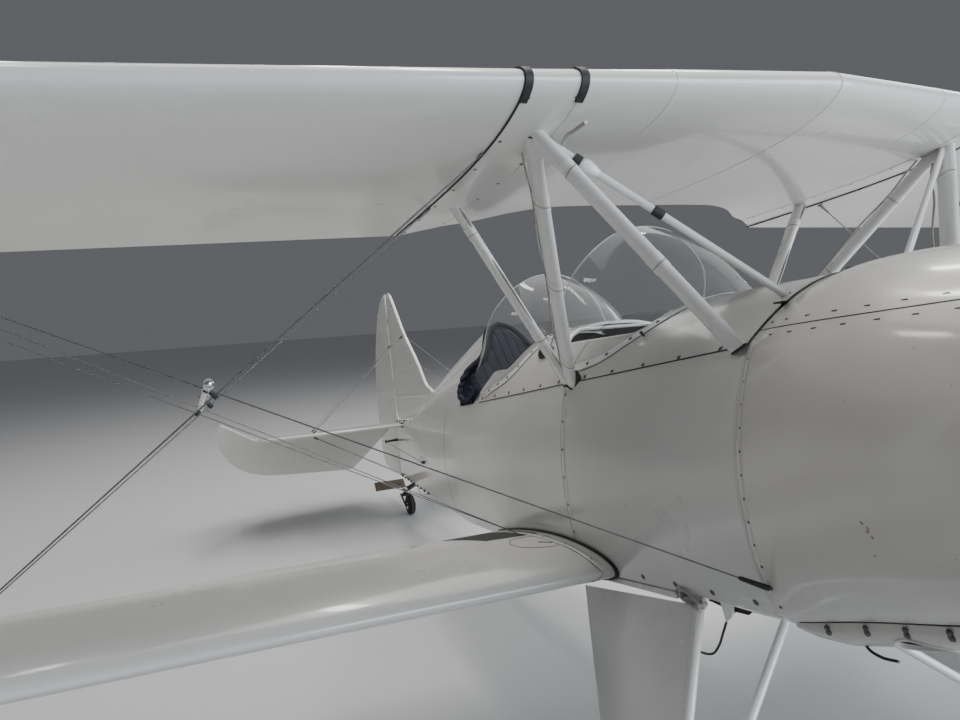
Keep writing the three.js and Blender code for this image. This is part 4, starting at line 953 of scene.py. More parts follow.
def windshields():
    for name, gap, base, top in SHIELDS:
        feet, ways = line_on(deck_under, [(point, 0.0012) for point in whole_line(base)])
        along = unit(np.gradient(feet, axis=0))
        rise = whole_line(top) - feet
        bulge = facing_forward(unit(np.cross(along, rise)))
        outer = np.array([feet + rise * t + bulge * 0.030 * math.sin(math.pi * t)
                          for t in np.linspace(0, 1, 15)])
        normals = unit(np.cross(np.gradient(outer, axis=1), np.gradient(outer, axis=0)))
        sheet = skin(f"{name}_windshield_sheet", shell(outer, outer - normals * 0.003), CLEAR,
                     f"{name}_windshield")
        sheet.data.shade_smooth()
        edge = outer[-1] - normals[-1] * 0.0015
        piece(f"{name}_windshield_edge", tube(edge, 0.0026, 8), EDGE)
        if name == "rear":
            band = slice(len(edge) // 2 + 4, len(edge) - 2)
            border = lerp(outer[-1, band], outer[-2, band], 0.35)
            ribbons("rear_windshield_border", strip(border, normals[-1, band], 0.017, 0.0012, 0.0042), EDGE)
        inward = facing_forward(unit(np.cross(along, ways)))
        centre, bed = (np.array([deck_under(point, lift)[0] for point in feet + inward * shift])
                       for shift, lift in ((0.012, 0.0004), (0.031, 0.0002)))
        ribbons(f"{name}_windshield_strip", strip(centre, ways, 0.034, 0.0026, 0.003), WHITE)
        ribbons(f"{name}_windshield_bed", strip(bed, ways, 0.0026, 0.0010, 0.002), RUBBER)
        places, out = spaced(centre, ways, gap, 0.04)
        piece(f"{name}_windshield_screws", domes(places + out * 0.0024, out, 0.0068, 0.0030), FASTENER)


def cockpit_fittings():
    for (half, y0, y1, corner), name, material in zip(COCKPITS, ("front", "rear"), (WHITE, RUBBER)):
        ring = rounded(-half, half, y0, y1, corner, 10)
        ring = [(x, y) for x, y in ring + ring[:1] if y < 1.60]
        if name == "rear":
            ring.sort(key=lambda place: math.atan2(place[0], 1.65 - place[1]))
        path = [deck_under(place, -0.003)[0] for place in ring]
        piece(f"{name}_cockpit_edging", tube(path, 0.0065, 8), material)
    blister, way = deck_under((-0.262, 1.175))
    aft = np.array((0.02, 1, 0.0))
    aft = unit(aft - way * np.dot(aft, way))
    across = np.cross(way, aft)
    rings = []
    for angle in np.linspace(0, math.pi / 2, 9):
        reach, up = math.cos(angle), math.sin(angle)
        rings.append([blister - way * 0.002 + aft * (0.055 * reach * math.cos(a) - 0.012 * up)
                      + across * 0.032 * reach * math.sin(a) + way * 0.028 * up for a in around(24)])
    piece("deck_blister", loft(rings), RUBBER)
    stud, way = deck_under((-0.262, 0.525))
    piece("deck_stud", [rod(stud, stud + way * 0.014, 0.003, 8),
                        rod(stud + way * 0.012, stud + way * 0.017, 0.005, 8)], DARK)


PANELS = (  # panel's y and height, then each dial's x, height and radius
    (0.5, 0.0, [(-0.13, -0.03, 0.040), (-0.03, -0.03, 0.040), (0.07, -0.03, 0.040),
                (0.155, -0.045, 0.028), (-0.08, -0.125, 0.030), (0.02, -0.125, 0.030)]),
    (1.4, -0.05, [(-0.17, -0.03, 0.040), (-0.07, -0.03, 0.040), (0.03, -0.03, 0.040),
                  (0.13, -0.03, 0.040), (-0.12, -0.13, 0.034), (-0.02, -0.13, 0.034),
                  (0.07, -0.13, 0.028), (0.15, -0.13, 0.028)]))


def dials():
    faces, rims, needles = [], [], []
    for panel_y, base, slots in PANELS:
        for x, z, radius in slots:
            def place(share, a, out):
                return (x + radius * share * math.cos(a), panel_y + 0.0065 + out,
                        base + z + radius * share * math.sin(a))

            def circle(share, out):
                return [place(share, a, out) for a in around(28)]
            rims.append(loft([circle(1, 0), circle(1, 0.006), circle(0.88, 0.006), circle(0.84, 0.001)],
                             caps=False))
            faces.append(loft([circle(0.86, 0.0005), circle(0.86, 0.0015)]))
            needles += [rod(place(0.66, a, 0.002), place(0.8, a, 0.002), 0.0009, 4) for a in around(12)]
            needles.append(rod(place(0, 0, 0.003), place(0.6, 2.2 + 9 * x, 0.003), 0.0013, 5))
    piece("dial_rims", rims, DARK)
    piece("dial_faces", faces, DIAL)
    piece("dial_marks", needles, TAPE)


# Cowl fasteners, lip and marks
def cowl_trim():
    seams, lips, screws, slots = [], [], [], []
    for side in (1, -1):
        seams.append(strip(*line_on(cowl_at, [(y, COWL_SEAM_Z, side) for y in
                                              np.linspace(-0.004, -0.88, 60)]), 0.0024, 0.0007))
        for offset, first in ((0.014, -0.05), (-0.014, -0.085)):
            for y in np.arange(first, -0.86, -0.07):
                spot, way = cowl_at(y, COWL_SEAM_Z + offset, side)
                slots.append(strip([spot + (0, d, 0) for d in (-0.006, 0, 0.006)], [way] * 3,
                                   0.0024, 0.0010))
        line, ways = line_on(cowl_at, [(-0.0175, z, side) for z in np.linspace(0.018, -0.585, 40)])
        places, out = spaced(line, ways, 0.052, 0.01)
        screws += domes(places + out * 0.0006, out, 0.0036, 0.0020)
        lips.append(strip(line + (0, 0.0055, 0), ways, 0.022, 0.0006))
        seams.append(strip(*line_on(cowl_at, [(y, pan_z(y) + 0.003, side) for y in
                                              np.linspace(-0.02, -0.86, 60)]), 0.0040, 0.0009))
    # Seam strips along the cowl's split line and belly pan edge are painted shadow lines
    ribbons("cowl_seams", seams, GAP_SHADE)
    ribbons("cowl_lips", lips, SHELL)
    piece("cowl_edge_screws", screws, FASTENER)
    ribbons("cowl_slots", slots, DARK)


def flange_clips():
    """Paired fasteners that hold the belly pan, along its upper edge."""
    parts = []
    for side in (1, -1):
        way = np.array((side * 0.93, 0, -0.36))
        up = unit(np.array((0, 0, 1.0)) - way * way[2])
        for y in [-0.093 - 0.101 * k for k in range(7)]:
            half = pan_ring(y)[:22]
            drop = half[0, 2] - half[:, 2]
            point = mirrored([np.interp(0.014, drop, half[:, k]) for k in range(3)], side)
            for lift, radius in ((0.006, 0.0058), (-0.006, 0.0072)):
                parts += domes([point + up * lift + way * 0.001], [way], radius, 0.004, 10)
            parts.append(rod(point - up * 0.008 + way * 0.002, point + up * 0.008 + way * 0.002, 0.003, 6))
    piece("pan_fasteners", parts, FASTENER)


STAINS = ([(-0.336, -0.332), (-0.341, -0.337)], [(-0.347, -0.340), (-0.351, -0.347)],
          [(-0.344, -0.348), (-0.349, -0.351)], [(-0.353, -0.355), (-0.355, -0.361)],
          [(-0.346, -0.391), (-0.348, -0.394)])


def small_dirt():
    """Rust-coloured stains of the cowl's starboard side."""
    ribbons("cowl_stain", [strip(*line_on(cowl_at, [(y, z, -1) for y, z in points]), 0.0030, 0.0003)
                           for points in STAINS], STAIN)


# Struts, their bands, boots and cables
def section_axes(a, b):
    """Directions across a strut: along its chord, and square to that."""
    along = unit(np.subtract(b, a))
    aft = np.array((0.0, 1, 0))
    chordwise = unit(aft - along * np.dot(aft, along))
    return chordwise, np.cross(along, chordwise)


def faired_ring(centre, chordwise, across, chord, thickness, grow=0.0, count=36):
    """Streamlined section: round nose, fullest at a third, thin tail."""
    return [centre + chordwise * math.cos(a) * (chord / 2 + grow)
            + across * math.sin(a) * (thickness / 2 + grow) * (1 - 0.22 * math.cos(a))
            for a in around(count)]


CABANE = dict(front_top=(0.71, 0.24, 0.57), rear_top=(0.71, 0.82, 0.548), firewall=(0.35, 0.024, -0.012),
              rear_foot=(0.352, 0.84, -0.072), brace=(0.165, 0.036, 0.096))
CABANE_CHORD, CABANE_THICKNESS = 0.058, 0.026
BRACE = 0.0095
FOOT_BOOT = ((0.348, 0.814, -0.080, 1.2), (0.355, 0.792, -0.052, 1.0), (0.363, 0.774, -0.030, 0.8),
             (0.371, 0.760, -0.012, 0.3))
BULB = [(0.128, 0.0095), (0.132, 0.0140), (0.138, 0.0162), (0.150, 0.0168), (0.162, 0.0150),
        (0.172, 0.0118), (0.180, 0.0096)]


def faired(line, shares, grow=0.0, steps=2):
    """Length of a cabane strut between two shares of its line."""
    axes = section_axes(*line)
    return loft([faired_ring(lerp(*line, t), *axes, CABANE_CHORD, CABANE_THICKNESS, grow)
                 for t in np.linspace(*shares, steps)])


def banded(line, share, width, height):
    """Raised band round a cabane strut at a share of its length."""
    half = width / 2 / np.linalg.norm(np.subtract(*line))
    return faired(line, (share - half, share + half), height)


def cabane():
    for name, side in SIDES:
        at = {key: mirrored(place, side) for key, place in CABANE.items()}
        front, middle, rear = lines = [(at[a], at[b]) for a, b in (
            ("front_top", "firewall"), ("front_top", "rear_foot"), ("rear_top", "rear_foot"))]
        struts = [faired(line, (0.012, 0.985), steps=24) for line in lines]
        web = []
        for t in (0.045, 0.06, 0.085, 0.115):
            a, b = lerp(*front, t), lerp(*middle, t * 0.82)
            web.append(faired_ring((a + b) / 2, unit(b - a), section_axes(*front)[1],
                                   np.linalg.norm(b - a) + 0.03, CABANE_THICKNESS * 0.9))
        struts.append(loft(web))
        top = at["front_top"] + (-side * 0.012, -0.004, -0.014)
        struts.append(rod(top, at["brace"], BRACE, 20, 20))
        skin(f"cabane_struts_{name}", struts, STRUT, f"cabane_{name}")
        spots = [(line, share) for line, shares in
                 ((front, (0.20, 0.62)), (middle, (0.22, 0.52, 0.86)), (rear, (0.16, 0.72)))
                 for share in shares]
        ribbons(f"cabane_tapes_{name}", [banded(line, share, 0.042, 0.0009) for line, share in spots], TAPE)
        ribbons(f"cabane_ties_{name}", [banded(line, share + 0.006, 0.0032, 0.0016)
                                        for line, share in spots], BRACKET)
        boots = [banded(front, 0.991, 0.0035, 0.0012), banded(middle, 0.972, 0.007, 0.0030),
                 banded(rear, 0.968, 0.007, 0.0030)]
        boots += [banded(line, 0.014, 0.004, 0.0022) for line in lines]
        ribbons(f"cabane_boots_{name}", boots, RUBBER)
        boot = [[(side * (x + 0.012 * size * math.cos(a)), y + 0.024 * size * math.sin(a), z)
                 for a in around(20)] for x, y, z, size in FOOT_BOOT]
        piece(f"cabane_foot_boot_{name}", loft(boot), RUBBER)
        cabane_cables(name, side, front, middle, rear)
        way, length = unit(at["brace"] - top), np.linalg.norm(at["brace"] - top)
        collars = [stepped(top, way, (length - 0.020, length - 0.006), [0.0105, 0.016], 20)]
        if side < 0:
            piece("brace_bulb", stepped(top, way, *zip(*BULB), 24), WHITE)
            collars += [stepped(top, way, (start, start + 0.002, stop - 0.002, stop),
                                [BRACE, radius, radius, BRACE], 20)
                        for start, stop, radius in ((0.108, 0.130, 0.0148), (0.334, 0.364, 0.0122))]
        piece(f"brace_bands_{name}", collars, RUBBER, smooth=30)
    vent = curve([(-0.640, 0.236, 0.470), (-0.640, 0.222, 0.495), (-0.640, 0.211, 0.520),
                  (-0.640, 0.194, 0.533), (-0.640, 0.154, 0.534), (-0.640, 0.098, 0.533)], 30)
    piece("vent_tube", tube(vent, 0.0046, 12), BRACKET)
    sight, radius = (-0.622, 0.36, 0.540), 0.030
    skin("sight_dome", loft([arc(sight, radius * math.cos(a), -radius * math.sin(a), 24)
                             for a in np.linspace(0, math.pi / 2, 8)]), CLEAR)
    rim = arc(sight, radius + 0.002, 0.001, 32)
    piece("sight_rim", tube(rim + rim[:1], 0.003, 8, caps=False), TAPE)


def cabane_cables(name, side, front, middle, rear):
    """Cables tied along the cabane struts, swelling out between their ties."""
    cables = []
    for line, offset, spots in ((middle, 0.034, (0.02, 0.1, 0.22, 0.36, 0.52, 0.7, 0.86, 0.95)),
                                (rear, -0.024, (0.02, 0.08, 0.16, 0.44, 0.72, 0.94))):
        chordwise, _ = section_axes(*line)
        path = [lerp(*line, share) + chordwise * (offset + math.copysign(0.010 * (k % 2), offset))
                for k, share in enumerate(spots)]
        cables.append(tube(curve(path, 50), 0.0030, 8))
    if side > 0:
        chordwise, _ = section_axes(*front)
        hung = [lerp(*front, share) + chordwise * out for share, out in
                ((0.03, 0.030), (0.14, 0.046), (0.3, 0.040), (0.5, 0.050), (0.72, 0.036), (0.93, 0.032))]
        cables.append(tube(curve(hung, 50), 0.0034, 8))
    piece(f"cabane_cables_{name}", cables, HOSE)
    beside = [place + chordwise * 0.004 + (0, 0, 0.002) for place in path]
    piece(f"cabane_leads_{name}", tube(curve(beside, 50), 0.0018, 6), CABLE)


INTERPLANE = dict(low=(2.3, 1.085, -0.59), high=(2.5, 0.80, 0.59), thickness=0.034,
                  table=[(0, 0.52), (0.16, 0.30), (0.5, 0.19), (0.84, 0.30), (1, 0.52)])


def interplane():
    for name, side in SIDES:
        line = [mirrored(INTERPLANE[end], side) for end in ("low", "high")]
        rings = [faired_ring(lerp(*line, t), np.array((0, 1.0, 0)), np.array((side, 0, 0)),
                             smooth_row(INTERPLANE["table"], t)[0], INTERPLANE["thickness"], count=44)
                 for t in np.linspace(0.012, 0.988, 36)]
        skin(f"interplane_strut_skin_{name}", loft(rings), STRUT, f"interplane_strut_{name}")
        bolts = []
        for t, shift in ((0.03, 0.19), (0.03, -0.19), (0.97, 0.19), (0.97, -0.19)):
            for way in (1, -1):
                bolts += domes([lerp(*line, t) + (way * 0.012, shift, 0)], [(way, 0, 0)], 0.010, 0.007, 6)
        piece(f"interplane_bolts_{name}", bolts, STEEL)


WIRES = [((0.775, 0.33, 0.556), (2.196, 0.784, -0.57)), ((0.79, 0.81, 0.524), (2.19, 0.821, -0.571)),
         ((0.384, -0.018, -0.530), (2.478, 1.011, 0.541)), ((0.394, 1.1, -0.61), (2.499, 1.158, 0.505)),
         ((0.394, 1.291, -0.61), (2.47, 1.096, 0.532))]
SPREADER = ((1.472, 0.452, 0.040), (1.493, 1.200, -0.014))
SPREADER_LENGTH = 0.75


def rigging():
    for name, side in SIDES:
        lines = [(mirrored(a, side), mirrored(b, side)) for a, b in WIRES]
        wires, forks, ends = [], [], []
        for a, b in lines:
            wires.append(tube(np.linspace(a, b, 30), 0.0031, 8, flat=0.55))
            way = unit(b - a)
            for end, out in ((a, way), (b, -way)):
                forks.append(stepped(end, out, (0.0, 0.012, 0.022, 0.040, 0.046),
                                     [0.0046, 0.0052, 0.0042, 0.0038, 0.0031], 12))
                ends.append(rod(end - (0, 0.009, 0), end + (0, 0.009, 0), 0.0036, 8))
        skin(f"rigging_wires_{name}", wires, WIRE, f"rigging_{name}")
        piece(f"rigging_forks_{name}", forks + ends, FASTENER)
        a, b = lines[2]
        piece(f"turnbuckle_{name}", stepped(a, unit(b - a), (-0.004, 0.0, 0.008, 0.040, 0.062, 0.068),
                                            [0.0035, 0.0062, 0.0066, 0.0056, 0.0048, 0.0032], 14), DARK)
        front, back = (mirrored(place, side) for place in SPREADER)
        way = unit(back - front)
        radii = np.interp(np.linspace(0, 1, 16), [0, 0.25, 0.6, 1], [0.0125, 0.0112, 0.0105, 0.0085])
        piece(f"spreader_stick_{name}",
              stepped(front, way, np.linspace(0.012, SPREADER_LENGTH, 16), radii, 16), STRUT)
        piece(f"spreader_ball_{name}", ball(front, 0.0125, 12, 20), ALLOY)
        piece(f"spreader_clamps_{name}", clamps(lines, front, way), DARK)


def clamps(lines, front, way):
    """Short tubes from the spreader stick out to each wire that passes near it."""
    made = []
    for a, b in lines:
        wire = unit(b - a)
        cross = unit(np.cross(way, wire))
        gap = np.dot(a - front, cross)
        solved = np.linalg.lstsq(np.column_stack([way, -wire]), a - cross * gap - front, rcond=None)[0]
        if abs(gap) < 0.05 and 0 < solved[0] < SPREADER_LENGTH + 0.02:
            made.append(stepped(front + way * solved[0], cross * math.copysign(1, gap),
                                (-0.012, abs(gap) + 0.008), 0.0062, 10))
    return made


# Lower wing root, walkway and covers
def wing_patch(wing, side, corners, lift, count):
    """Thin patch lying on a wing's top, from four (x, share) corners in order."""
    low_a, high_a, high_b, low_b = np.array(corners)
    rings = []
    for t in np.linspace(0, 1, count):
        places = [lerp(lerp(low_a, high_a, u), lerp(low_b, high_b, u), t) for u in np.linspace(0, 1, count)]
        row = [wing_point(wing, side * x, s, True, lift=lift) for x, s in places]
        rings.append(row + [p - (0, 0, lift + 0.001) for p in row[::-1]])
    return skin_faces(rings)


WALKWAY_CORNERS = [(0.412, 0.47), (0.60, 0.50), (0.66, 0.84), (0.418, 0.86)]
COVER_OUTLINE = ((0.432, 0.245), (0.452, 0.218), (0.535, 0.240), (0.556, 0.262), (0.548, 0.40),
                 (0.53, 0.425), (0.45, 0.42), (0.430, 0.40), (0.432, 0.245))


def root_details():
    for name, side in SIDES:
        ring = wing_ring(LOWER, side * 0.39, steps=60)[2:-2]
        path = [(side * (hull_reach(y, max(z, -0.655)) + 0.004), y, z) for _, y, z in ring]
        radii = np.interp(np.linspace(0, 1, len(path)), [0, 0.3, 0.7, 1], [0.003, 0.0062, 0.0075, 0.004])
        piece(f"root_seal_{name}", tube(path, radii), RUBBER)
        edges, lines, screws = [], [], []
        bend = np.interp(np.linspace(0, 1, 50), [0, 0.15, 0.6, 1], [-0.035, -0.02, 0.0, 0.0])
        for top in (True, False):
            points, normals = chord_line(LOWER, side * 0.45, top, 0.0, 0.9, 50)
            points[:, 0] += side * bend
            lines.append(strip(points, normals, 0.0026, 0.0006))
            inner = points - (side * 0.012, 0, 0)
            edges.append(strip(inner, normals, 0.022, 0.0011))
            screws += domes(*spaced(inner, normals, 0.14, 0.07), 0.004, 0.0022)
        # Dark lines along the root fairing's edge are painted shade
        ribbons(f"root_fairing_edge_{name}", lines, GAP_SHADE)
        ribbons(f"root_fairing_{name}", edges, COVER)
        piece(f"root_fairing_screws_{name}", screws, FASTENER)
        piece(f"walkway_{name}", wing_patch(LOWER, side, WALKWAY_CORNERS, 0.0012, 16), WALKWAY)
        outline = curve([wing_point(LOWER, side * x, share, True, lift=0.0002)
                         for x, share in COVER_OUTLINE], 60)
        # The cover's outline is a line of painted shade round its edge
        ribbons(f"wire_cover_{name}", strip(outline, [(0, 0, 1)] * len(outline), 0.0024, 0.0006), GAP_SHADE)
        slit = [wing_point(LOWER, side * x, share, True, lift=0.0004)
                for x, share in ((0.452, 0.26), (0.484, 0.30))]
        ribbons(f"wire_slit_{name}", strip(slit, [(0, 0, 1)] * 2, 0.008, 0.0008), RUBBER)


def ribs():
    """Faint rib tapes over the upper wing and under the lower one, with the centre's short tapes."""
    tapes = []
    for side in (1, -1):
        for x in np.arange(1.06, 3.2, 0.27):
            tapes.append(strip(*chord_line(UPPER, side * x, True, 0.02, 0.985, 40), 0.018, 0.00025))
        for x in np.arange(0.72, 3.05, 0.27):
            hinged = AILERON["inner"] - 0.02 < x < AILERON["outer"] + 0.02
            tapes.append(strip(*chord_line(LOWER, side * x, False, 0.02, *((0.70, 34) if hinged else
                                                                           (0.985, 40))), 0.018, 0.00025))
        for top in (True, False):
            tapes.append(strip(*chord_line(UPPER, side * 0.43, top, 0.0, 0.2, 30, chord=centre_chord(0.43)),
                               0.012, 0.0006))
    ribbons("rib_tapes", tapes, COVER)


# Undercarriage
GEAR = dict(front=((0.348, 0.283, -0.650), (0.745, 0.0, -1.25)),
            rear=((0.348, 0.890, -0.727), (0.745, 0.13, -1.25)))
WHEEL = dict(centre=(0.85, 0.055, -1.25), radius=0.205, half=0.075, rim=0.084)
HINGE_LOOP = ((0.354, -0.620), (0.345, -0.613), (0.318, -0.614), (0.282, -0.624), (0.266, -0.634),
              (0.268, -0.644), (0.300, -0.643), (0.338, -0.635), (0.354, -0.627), (0.354, -0.620))
FLANGE = ((0.338, 0.001), (0.358, -0.0005), (0.364, -0.012), (0.362, -0.014), (0.340, -0.005))
SHOCK = 0.0125
COLLARS = (((0.60, 0.602, 0.65, 0.652), 0.015), ((0.945, 0.95, 0.99, 0.995), 0.020))


def leg_ring(front, rear, across):
    """Section of a gear leg: a plate with rounded edges, thinning aft."""
    chord = np.linalg.norm(rear - front)
    ring = []
    for a in around(60):
        share = (1 - math.cos(a)) / 2
        half = 0.0125 - 0.003 * share
        inside = min(min(share, 1 - share) * chord / half, 1)
        rise = math.sqrt(max(0.0, 1 - (1 - inside) ** 2))
        ring.append(lerp(front, rear, share) + across * half * rise * math.copysign(1, math.sin(a) + 1e-9))
    return ring


def gear():
    for name, side in SIDES:
        front, rear = (mirrored(GEAR[edge], side) for edge in ("front", "rear"))
        span = (front[1] + rear[1] - front[0] - rear[0]) / 2
        rings = []
        for t in np.linspace(0, 1, 26):
            a, b = lerp(*front, t), lerp(*rear, t)
            rings.append(leg_ring(a, b, unit(np.cross(span, b - a))))
        skin(f"gear_leg_skin_{name}", loft(rings), STRUT, f"gear_leg_{name}")
        skin(f"gear_front_tube_{name}", rod(*(front + (0, 0.0024, 0)), 0.0130, 20, 8), STRUT)
        axle = mirrored(WHEEL["centre"], side)
        piece(f"axle_stub_{name}", [cross_rod(axle, side, -0.130, 0.068, 0.0188, 24),
                                    cross_rod(axle, side, -0.150, -0.100, 0.031, 24)], STEEL)
        parts = []
        for place in ((0.350, 0.338, -0.628), (0.350, 0.272, -0.641)):
            parts += [cross_rod(mirrored(place, side), side, -0.012, 0.016, 0.0078, 16),
                      cross_rod(mirrored(place, side), side, 0.014, 0.020, 0.0058, 6)]
        loop = curve([(side * 0.366, y, z) for y, z in HINGE_LOOP], 40)
        plate = side_box((0.344, 0.266, -0.652), (0.352, 0.352, -0.622), side)
        parts += [tube(loop, 0.0036, 8, caps=False), plate]
        piece(f"gear_hinge_{name}", parts, BRACKET)
        hinge = mirrored((0.350, 0.872, -0.700), side)
        piece(f"gear_rear_hinge_{name}", [cross_rod(hinge, side, -0.02, 0.02, 0.0085, 16),
                                          cross_rod(hinge, side, 0.018, 0.026, 0.0065, 6)], BRACKET)
        flange = []
        for y in np.linspace(0.36, 0.80, 12):
            z = hull_row(y)[3] - 0.004
            flange.append([(side * x, y, z + dz) for x, dz in FLANGE])
        piece(f"gear_top_strip_{name}", loft(flange), WHITE, smooth=20)
        brakes(name, side, axle)
        top, low = mirrored((0.024, 0.300, -0.69), side), mirrored((0.712, 0.030, -1.222), side)
        skin(f"shock_tube_{name}", rod(top, low, SHOCK, 22, 6), STRUT, f"shock_strut_{name}")
        piece(f"shock_collars_{name}",
              [tube([lerp(top, low, share) for share in shares], [SHOCK, radius, radius, SHOCK], 20)
               for shares, radius in COLLARS], DARK)
    pipe = curve([(-0.30, y, z) for y, z in
                  ((0.212, -0.655), (0.242, -0.682), (0.262, -0.715), (0.291, -0.764), (0.316, -0.789),
                   (0.345, -0.799), (0.379, -0.802))], 34)
    piece("breather_tube", tube(pipe, 0.0032, 12), DARK)
    plates = [loft([[(x, y, z) for y, z in outline] for x in xs]) for outline, xs in
              ((((0.196, -0.615), (0.150, -0.612), (0.156, -0.640), (0.182, -0.662)), (-0.352, -0.346)),
               (((0.255, -0.6265), (0.098, -0.619), (0.108, -0.628), (0.17, -0.633)), (-0.344, -0.338)))]
    piece("breather_bracket", plates[0], WHITE, smooth=20)
    # A thin near black plate under the hull's edge: a painted shadow of the gap there
    piece("belly_gap_shadow", plates[1], GAP_SHADE, smooth=0)


def cross_rod(centre, side, start, stop, radius, sides):
    """Rod along the cross axis, between two distances outboard of a centre."""
    return rod(centre + (side * start, 0, 0), centre + (side * stop, 0, 0), radius, sides)


def side_box(low, high, side):
    corners = mirrored((low, high), side)
    return box(corners.min(axis=0), corners.max(axis=0))


def brakes(name, side, axle):
    disc = [(0.030, -0.088), (0.070, -0.088), (0.070, -0.083), (0.030, -0.083)]
    piece(f"brake_disc_{name}", lathe(axle, side, disc, 36), STEEL, body=f"wheel_{name}")
    corners = axle + mirrored(((-0.108, 0.038, -0.035), (-0.066, 0.095, 0.04)), side)
    caliper = [box(corners.min(axis=0), corners.max(axis=0))]
    caliper += [cross_rod(axle + (0, 0.068, z), side, -0.118, -0.104, 0.012, 14) for z in (-0.014, 0.020)]
    piece(f"brake_caliper_{name}", caliper, DARK)
    line = [axle + mirrored(place, side) for place in ((-0.098, 0.058, 0.03), (-0.112, 0.090, 0.09))]
    line += [mirrored(place, side) for place in ((0.64, 0.158, -1.10), (0.52, 0.27, -0.93),
                                                 (0.43, 0.36, -0.80), (0.362, 0.40, -0.70))]
    piece(f"brake_line_{name}", tube(curve(line, 40), 0.0028, 8), CABLE)


def lathe(centre, side, profile, count):
    """Turns a closed (radius, offset) profile about the cross axis through a centre."""
    rings = np.array([[centre + np.array((side * x, r * math.cos(a), r * math.sin(a))) for r, x in profile]
                      for a in around(count)])
    across = len(profile)
    faces = []
    for i in range(count):
        for j in range(across):
            here, after = i * across, (i + 1) % count * across
            faces.append((here + j, here + (j + 1) % across, after + (j + 1) % across, after + j))
    return rings.reshape(-1, 3), faces


def tyre_profile(radius, half, rim, grooves):
    """Closed profile of a tyre: bead, bulged walls and a grooved tread."""
    wall = [(rim, -half * 0.70), (rim + 0.004, -half * 0.80)]
    wall += [(rim + (radius - rim) * (0.50 + 0.47 * math.sin(a)), -half * (0.55 + 0.45 * math.cos(a)))
             for a in np.linspace(-0.35, 1.12, 12)]
    tread = []
    for x in np.linspace(-half * 0.70, half * 0.70, 29):
        crown = radius - 0.012 * (x / (half * 0.70)) ** 2
        inside = any(abs(x - g) < half * 0.035 for g in np.linspace(-0.5, 0.5, grooves) * half)
        tread.append((crown - (0.0055 if inside else 0.0), x))
    return wall + tread + [(r, -x) for r, x in wall[::-1]]


WHEEL_DISC = [(0.0205, -0.058), (0.045, -0.058), (0.05, -0.044), (0.078, -0.05), (0.0835, -0.058),
              (0.0835, 0.058), (0.078, 0.056), (0.070, 0.050), (0.062, 0.030), (0.046, 0.028),
              (0.040, 0.036), (0.040, 0.060), (0.036, 0.066), (0.0205, 0.066)]


def wheels():
    for name, side in SIDES:
        centre, body = mirrored(WHEEL["centre"], side), f"wheel_{name}"
        profile = tyre_profile(WHEEL["radius"] - 0.0005, WHEEL["half"] - 0.001, WHEEL["rim"], 5)
        tyre = skin(f"tyre_tread_{name}", lathe(centre, side, profile, 96), TREAD, f"tyre_{name}",
                    body=body)
        for vertex in tyre.data.vertices:
            vertex.co.z = max(vertex.co.z, 0.0)
        skin(f"wheel_disc_{name}", lathe(centre, side, WHEEL_DISC, 72), ALLOY, f"wheel_hub_{name}",
             body=body)
        bolts = []
        for a in around(6) + math.radians(20):
            spot = centre + (side * 0.0295, 0.054 * math.cos(a), 0.054 * math.sin(a))
            bolts += domes([spot], [(side, 0, 0)], 0.0065, 0.006, 6)
        stem = centre + (side * 0.052, 0, 0.0745)
        bolts.append(rod(stem, stem + (side * 0.022, 0, -0.006), 0.0035, 10))
        piece(f"wheel_bolts_{name}", bolts, STEEL, body=body)
        piece(f"axle_nut_{name}", [cross_rod(centre, side, 0.066, 0.080, 0.017, 6)], STEEL)


# Tail
FIN = [(3.42, -0.04), (3.6, 0.014), (3.745, 0.18), (4.037, 0.42), (4.23, 0.64), (4.34, 0.76), (4.4, 0.786),
       (4.452, 0.776), (4.452, -0.22), (4.33, -0.232), (3.9, -0.212)]
RUDDER = [(4.476, -0.676), (4.79, -0.668), (4.97, -0.64), (5.05, -0.56), (5.085, -0.33), (5.095, -0.08),
          (5.06, 0.13), (4.96, 0.38), (4.81, 0.61), (4.65, 0.74), (4.54, 0.786), (4.476, 0.79)]
STABILIZER = [(0.004, 3.96), (0.12, 3.966), (0.45, 3.985), (0.8, 4.01), (0.98, 4.05), (1.07, 4.10),
              (1.1, 4.15), (1.1, 4.408), (0.004, 4.408)]
ELEVATOR = [(0.062, 0.0), (1.090, 0.0), (1.112, 0.0), (1.130, -0.020), (1.345, -0.258), (1.372, -0.235),
            (1.378, -0.11), (1.37, 0.02), (1.338, 0.16), (1.27, 0.33), (1.16, 0.47), (1.0, 0.56),
            (0.33, 0.64), (0.296, 0.606), (0.062, 0.02)]
TAIL_Y, TAIL_Z, DROOP = 4.43, -0.262, math.radians(34)
TAIL_WIRES = (((0.735, 4.052, -0.246), (0.012, 4.062, 0.40)),
              ((0.70, 4.375, -0.246), (0.014, 4.43, 0.36)),
              ((0.735, 4.052, -0.279), (0.034, 4.02, -0.668)),
              ((0.70, 4.375, -0.279), (0.030, 4.36, -0.672)))
SPRING = [(3.88, -0.6863), (4.02, -0.6863), (4.11, -0.7043), (4.3, -0.7503), (4.44, -0.7863),
          (4.5, -0.7923)]
TIE_LOOP = [(-0.13, 3.60, -0.668), (-0.135, 3.58, -0.70), (-0.128, 3.54, -0.722), (-0.10, 3.50, -0.722),
            (-0.088, 3.47, -0.70), (-0.09, 3.455, -0.672)]
TAIL_DISC = [(0.004, -0.0225), (0.030, -0.0225), (0.0345, -0.0265), (0.0345, 0.0265), (0.030, 0.0225),
             (0.004, 0.0225)]


def span_at(outline, a):
    """Lowest and highest second coordinate of a closed outline at a first one."""
    hits = []
    for p, q in zip(outline, np.roll(outline, -1, axis=0)):
        if (p[0] - a) * (q[0] - a) <= 0 and p[0] != q[0]:
            hits.append(p[1] + (q[1] - p[1]) * (a - p[0]) / (q[0] - p[0]))
    return min(hits), max(hits)


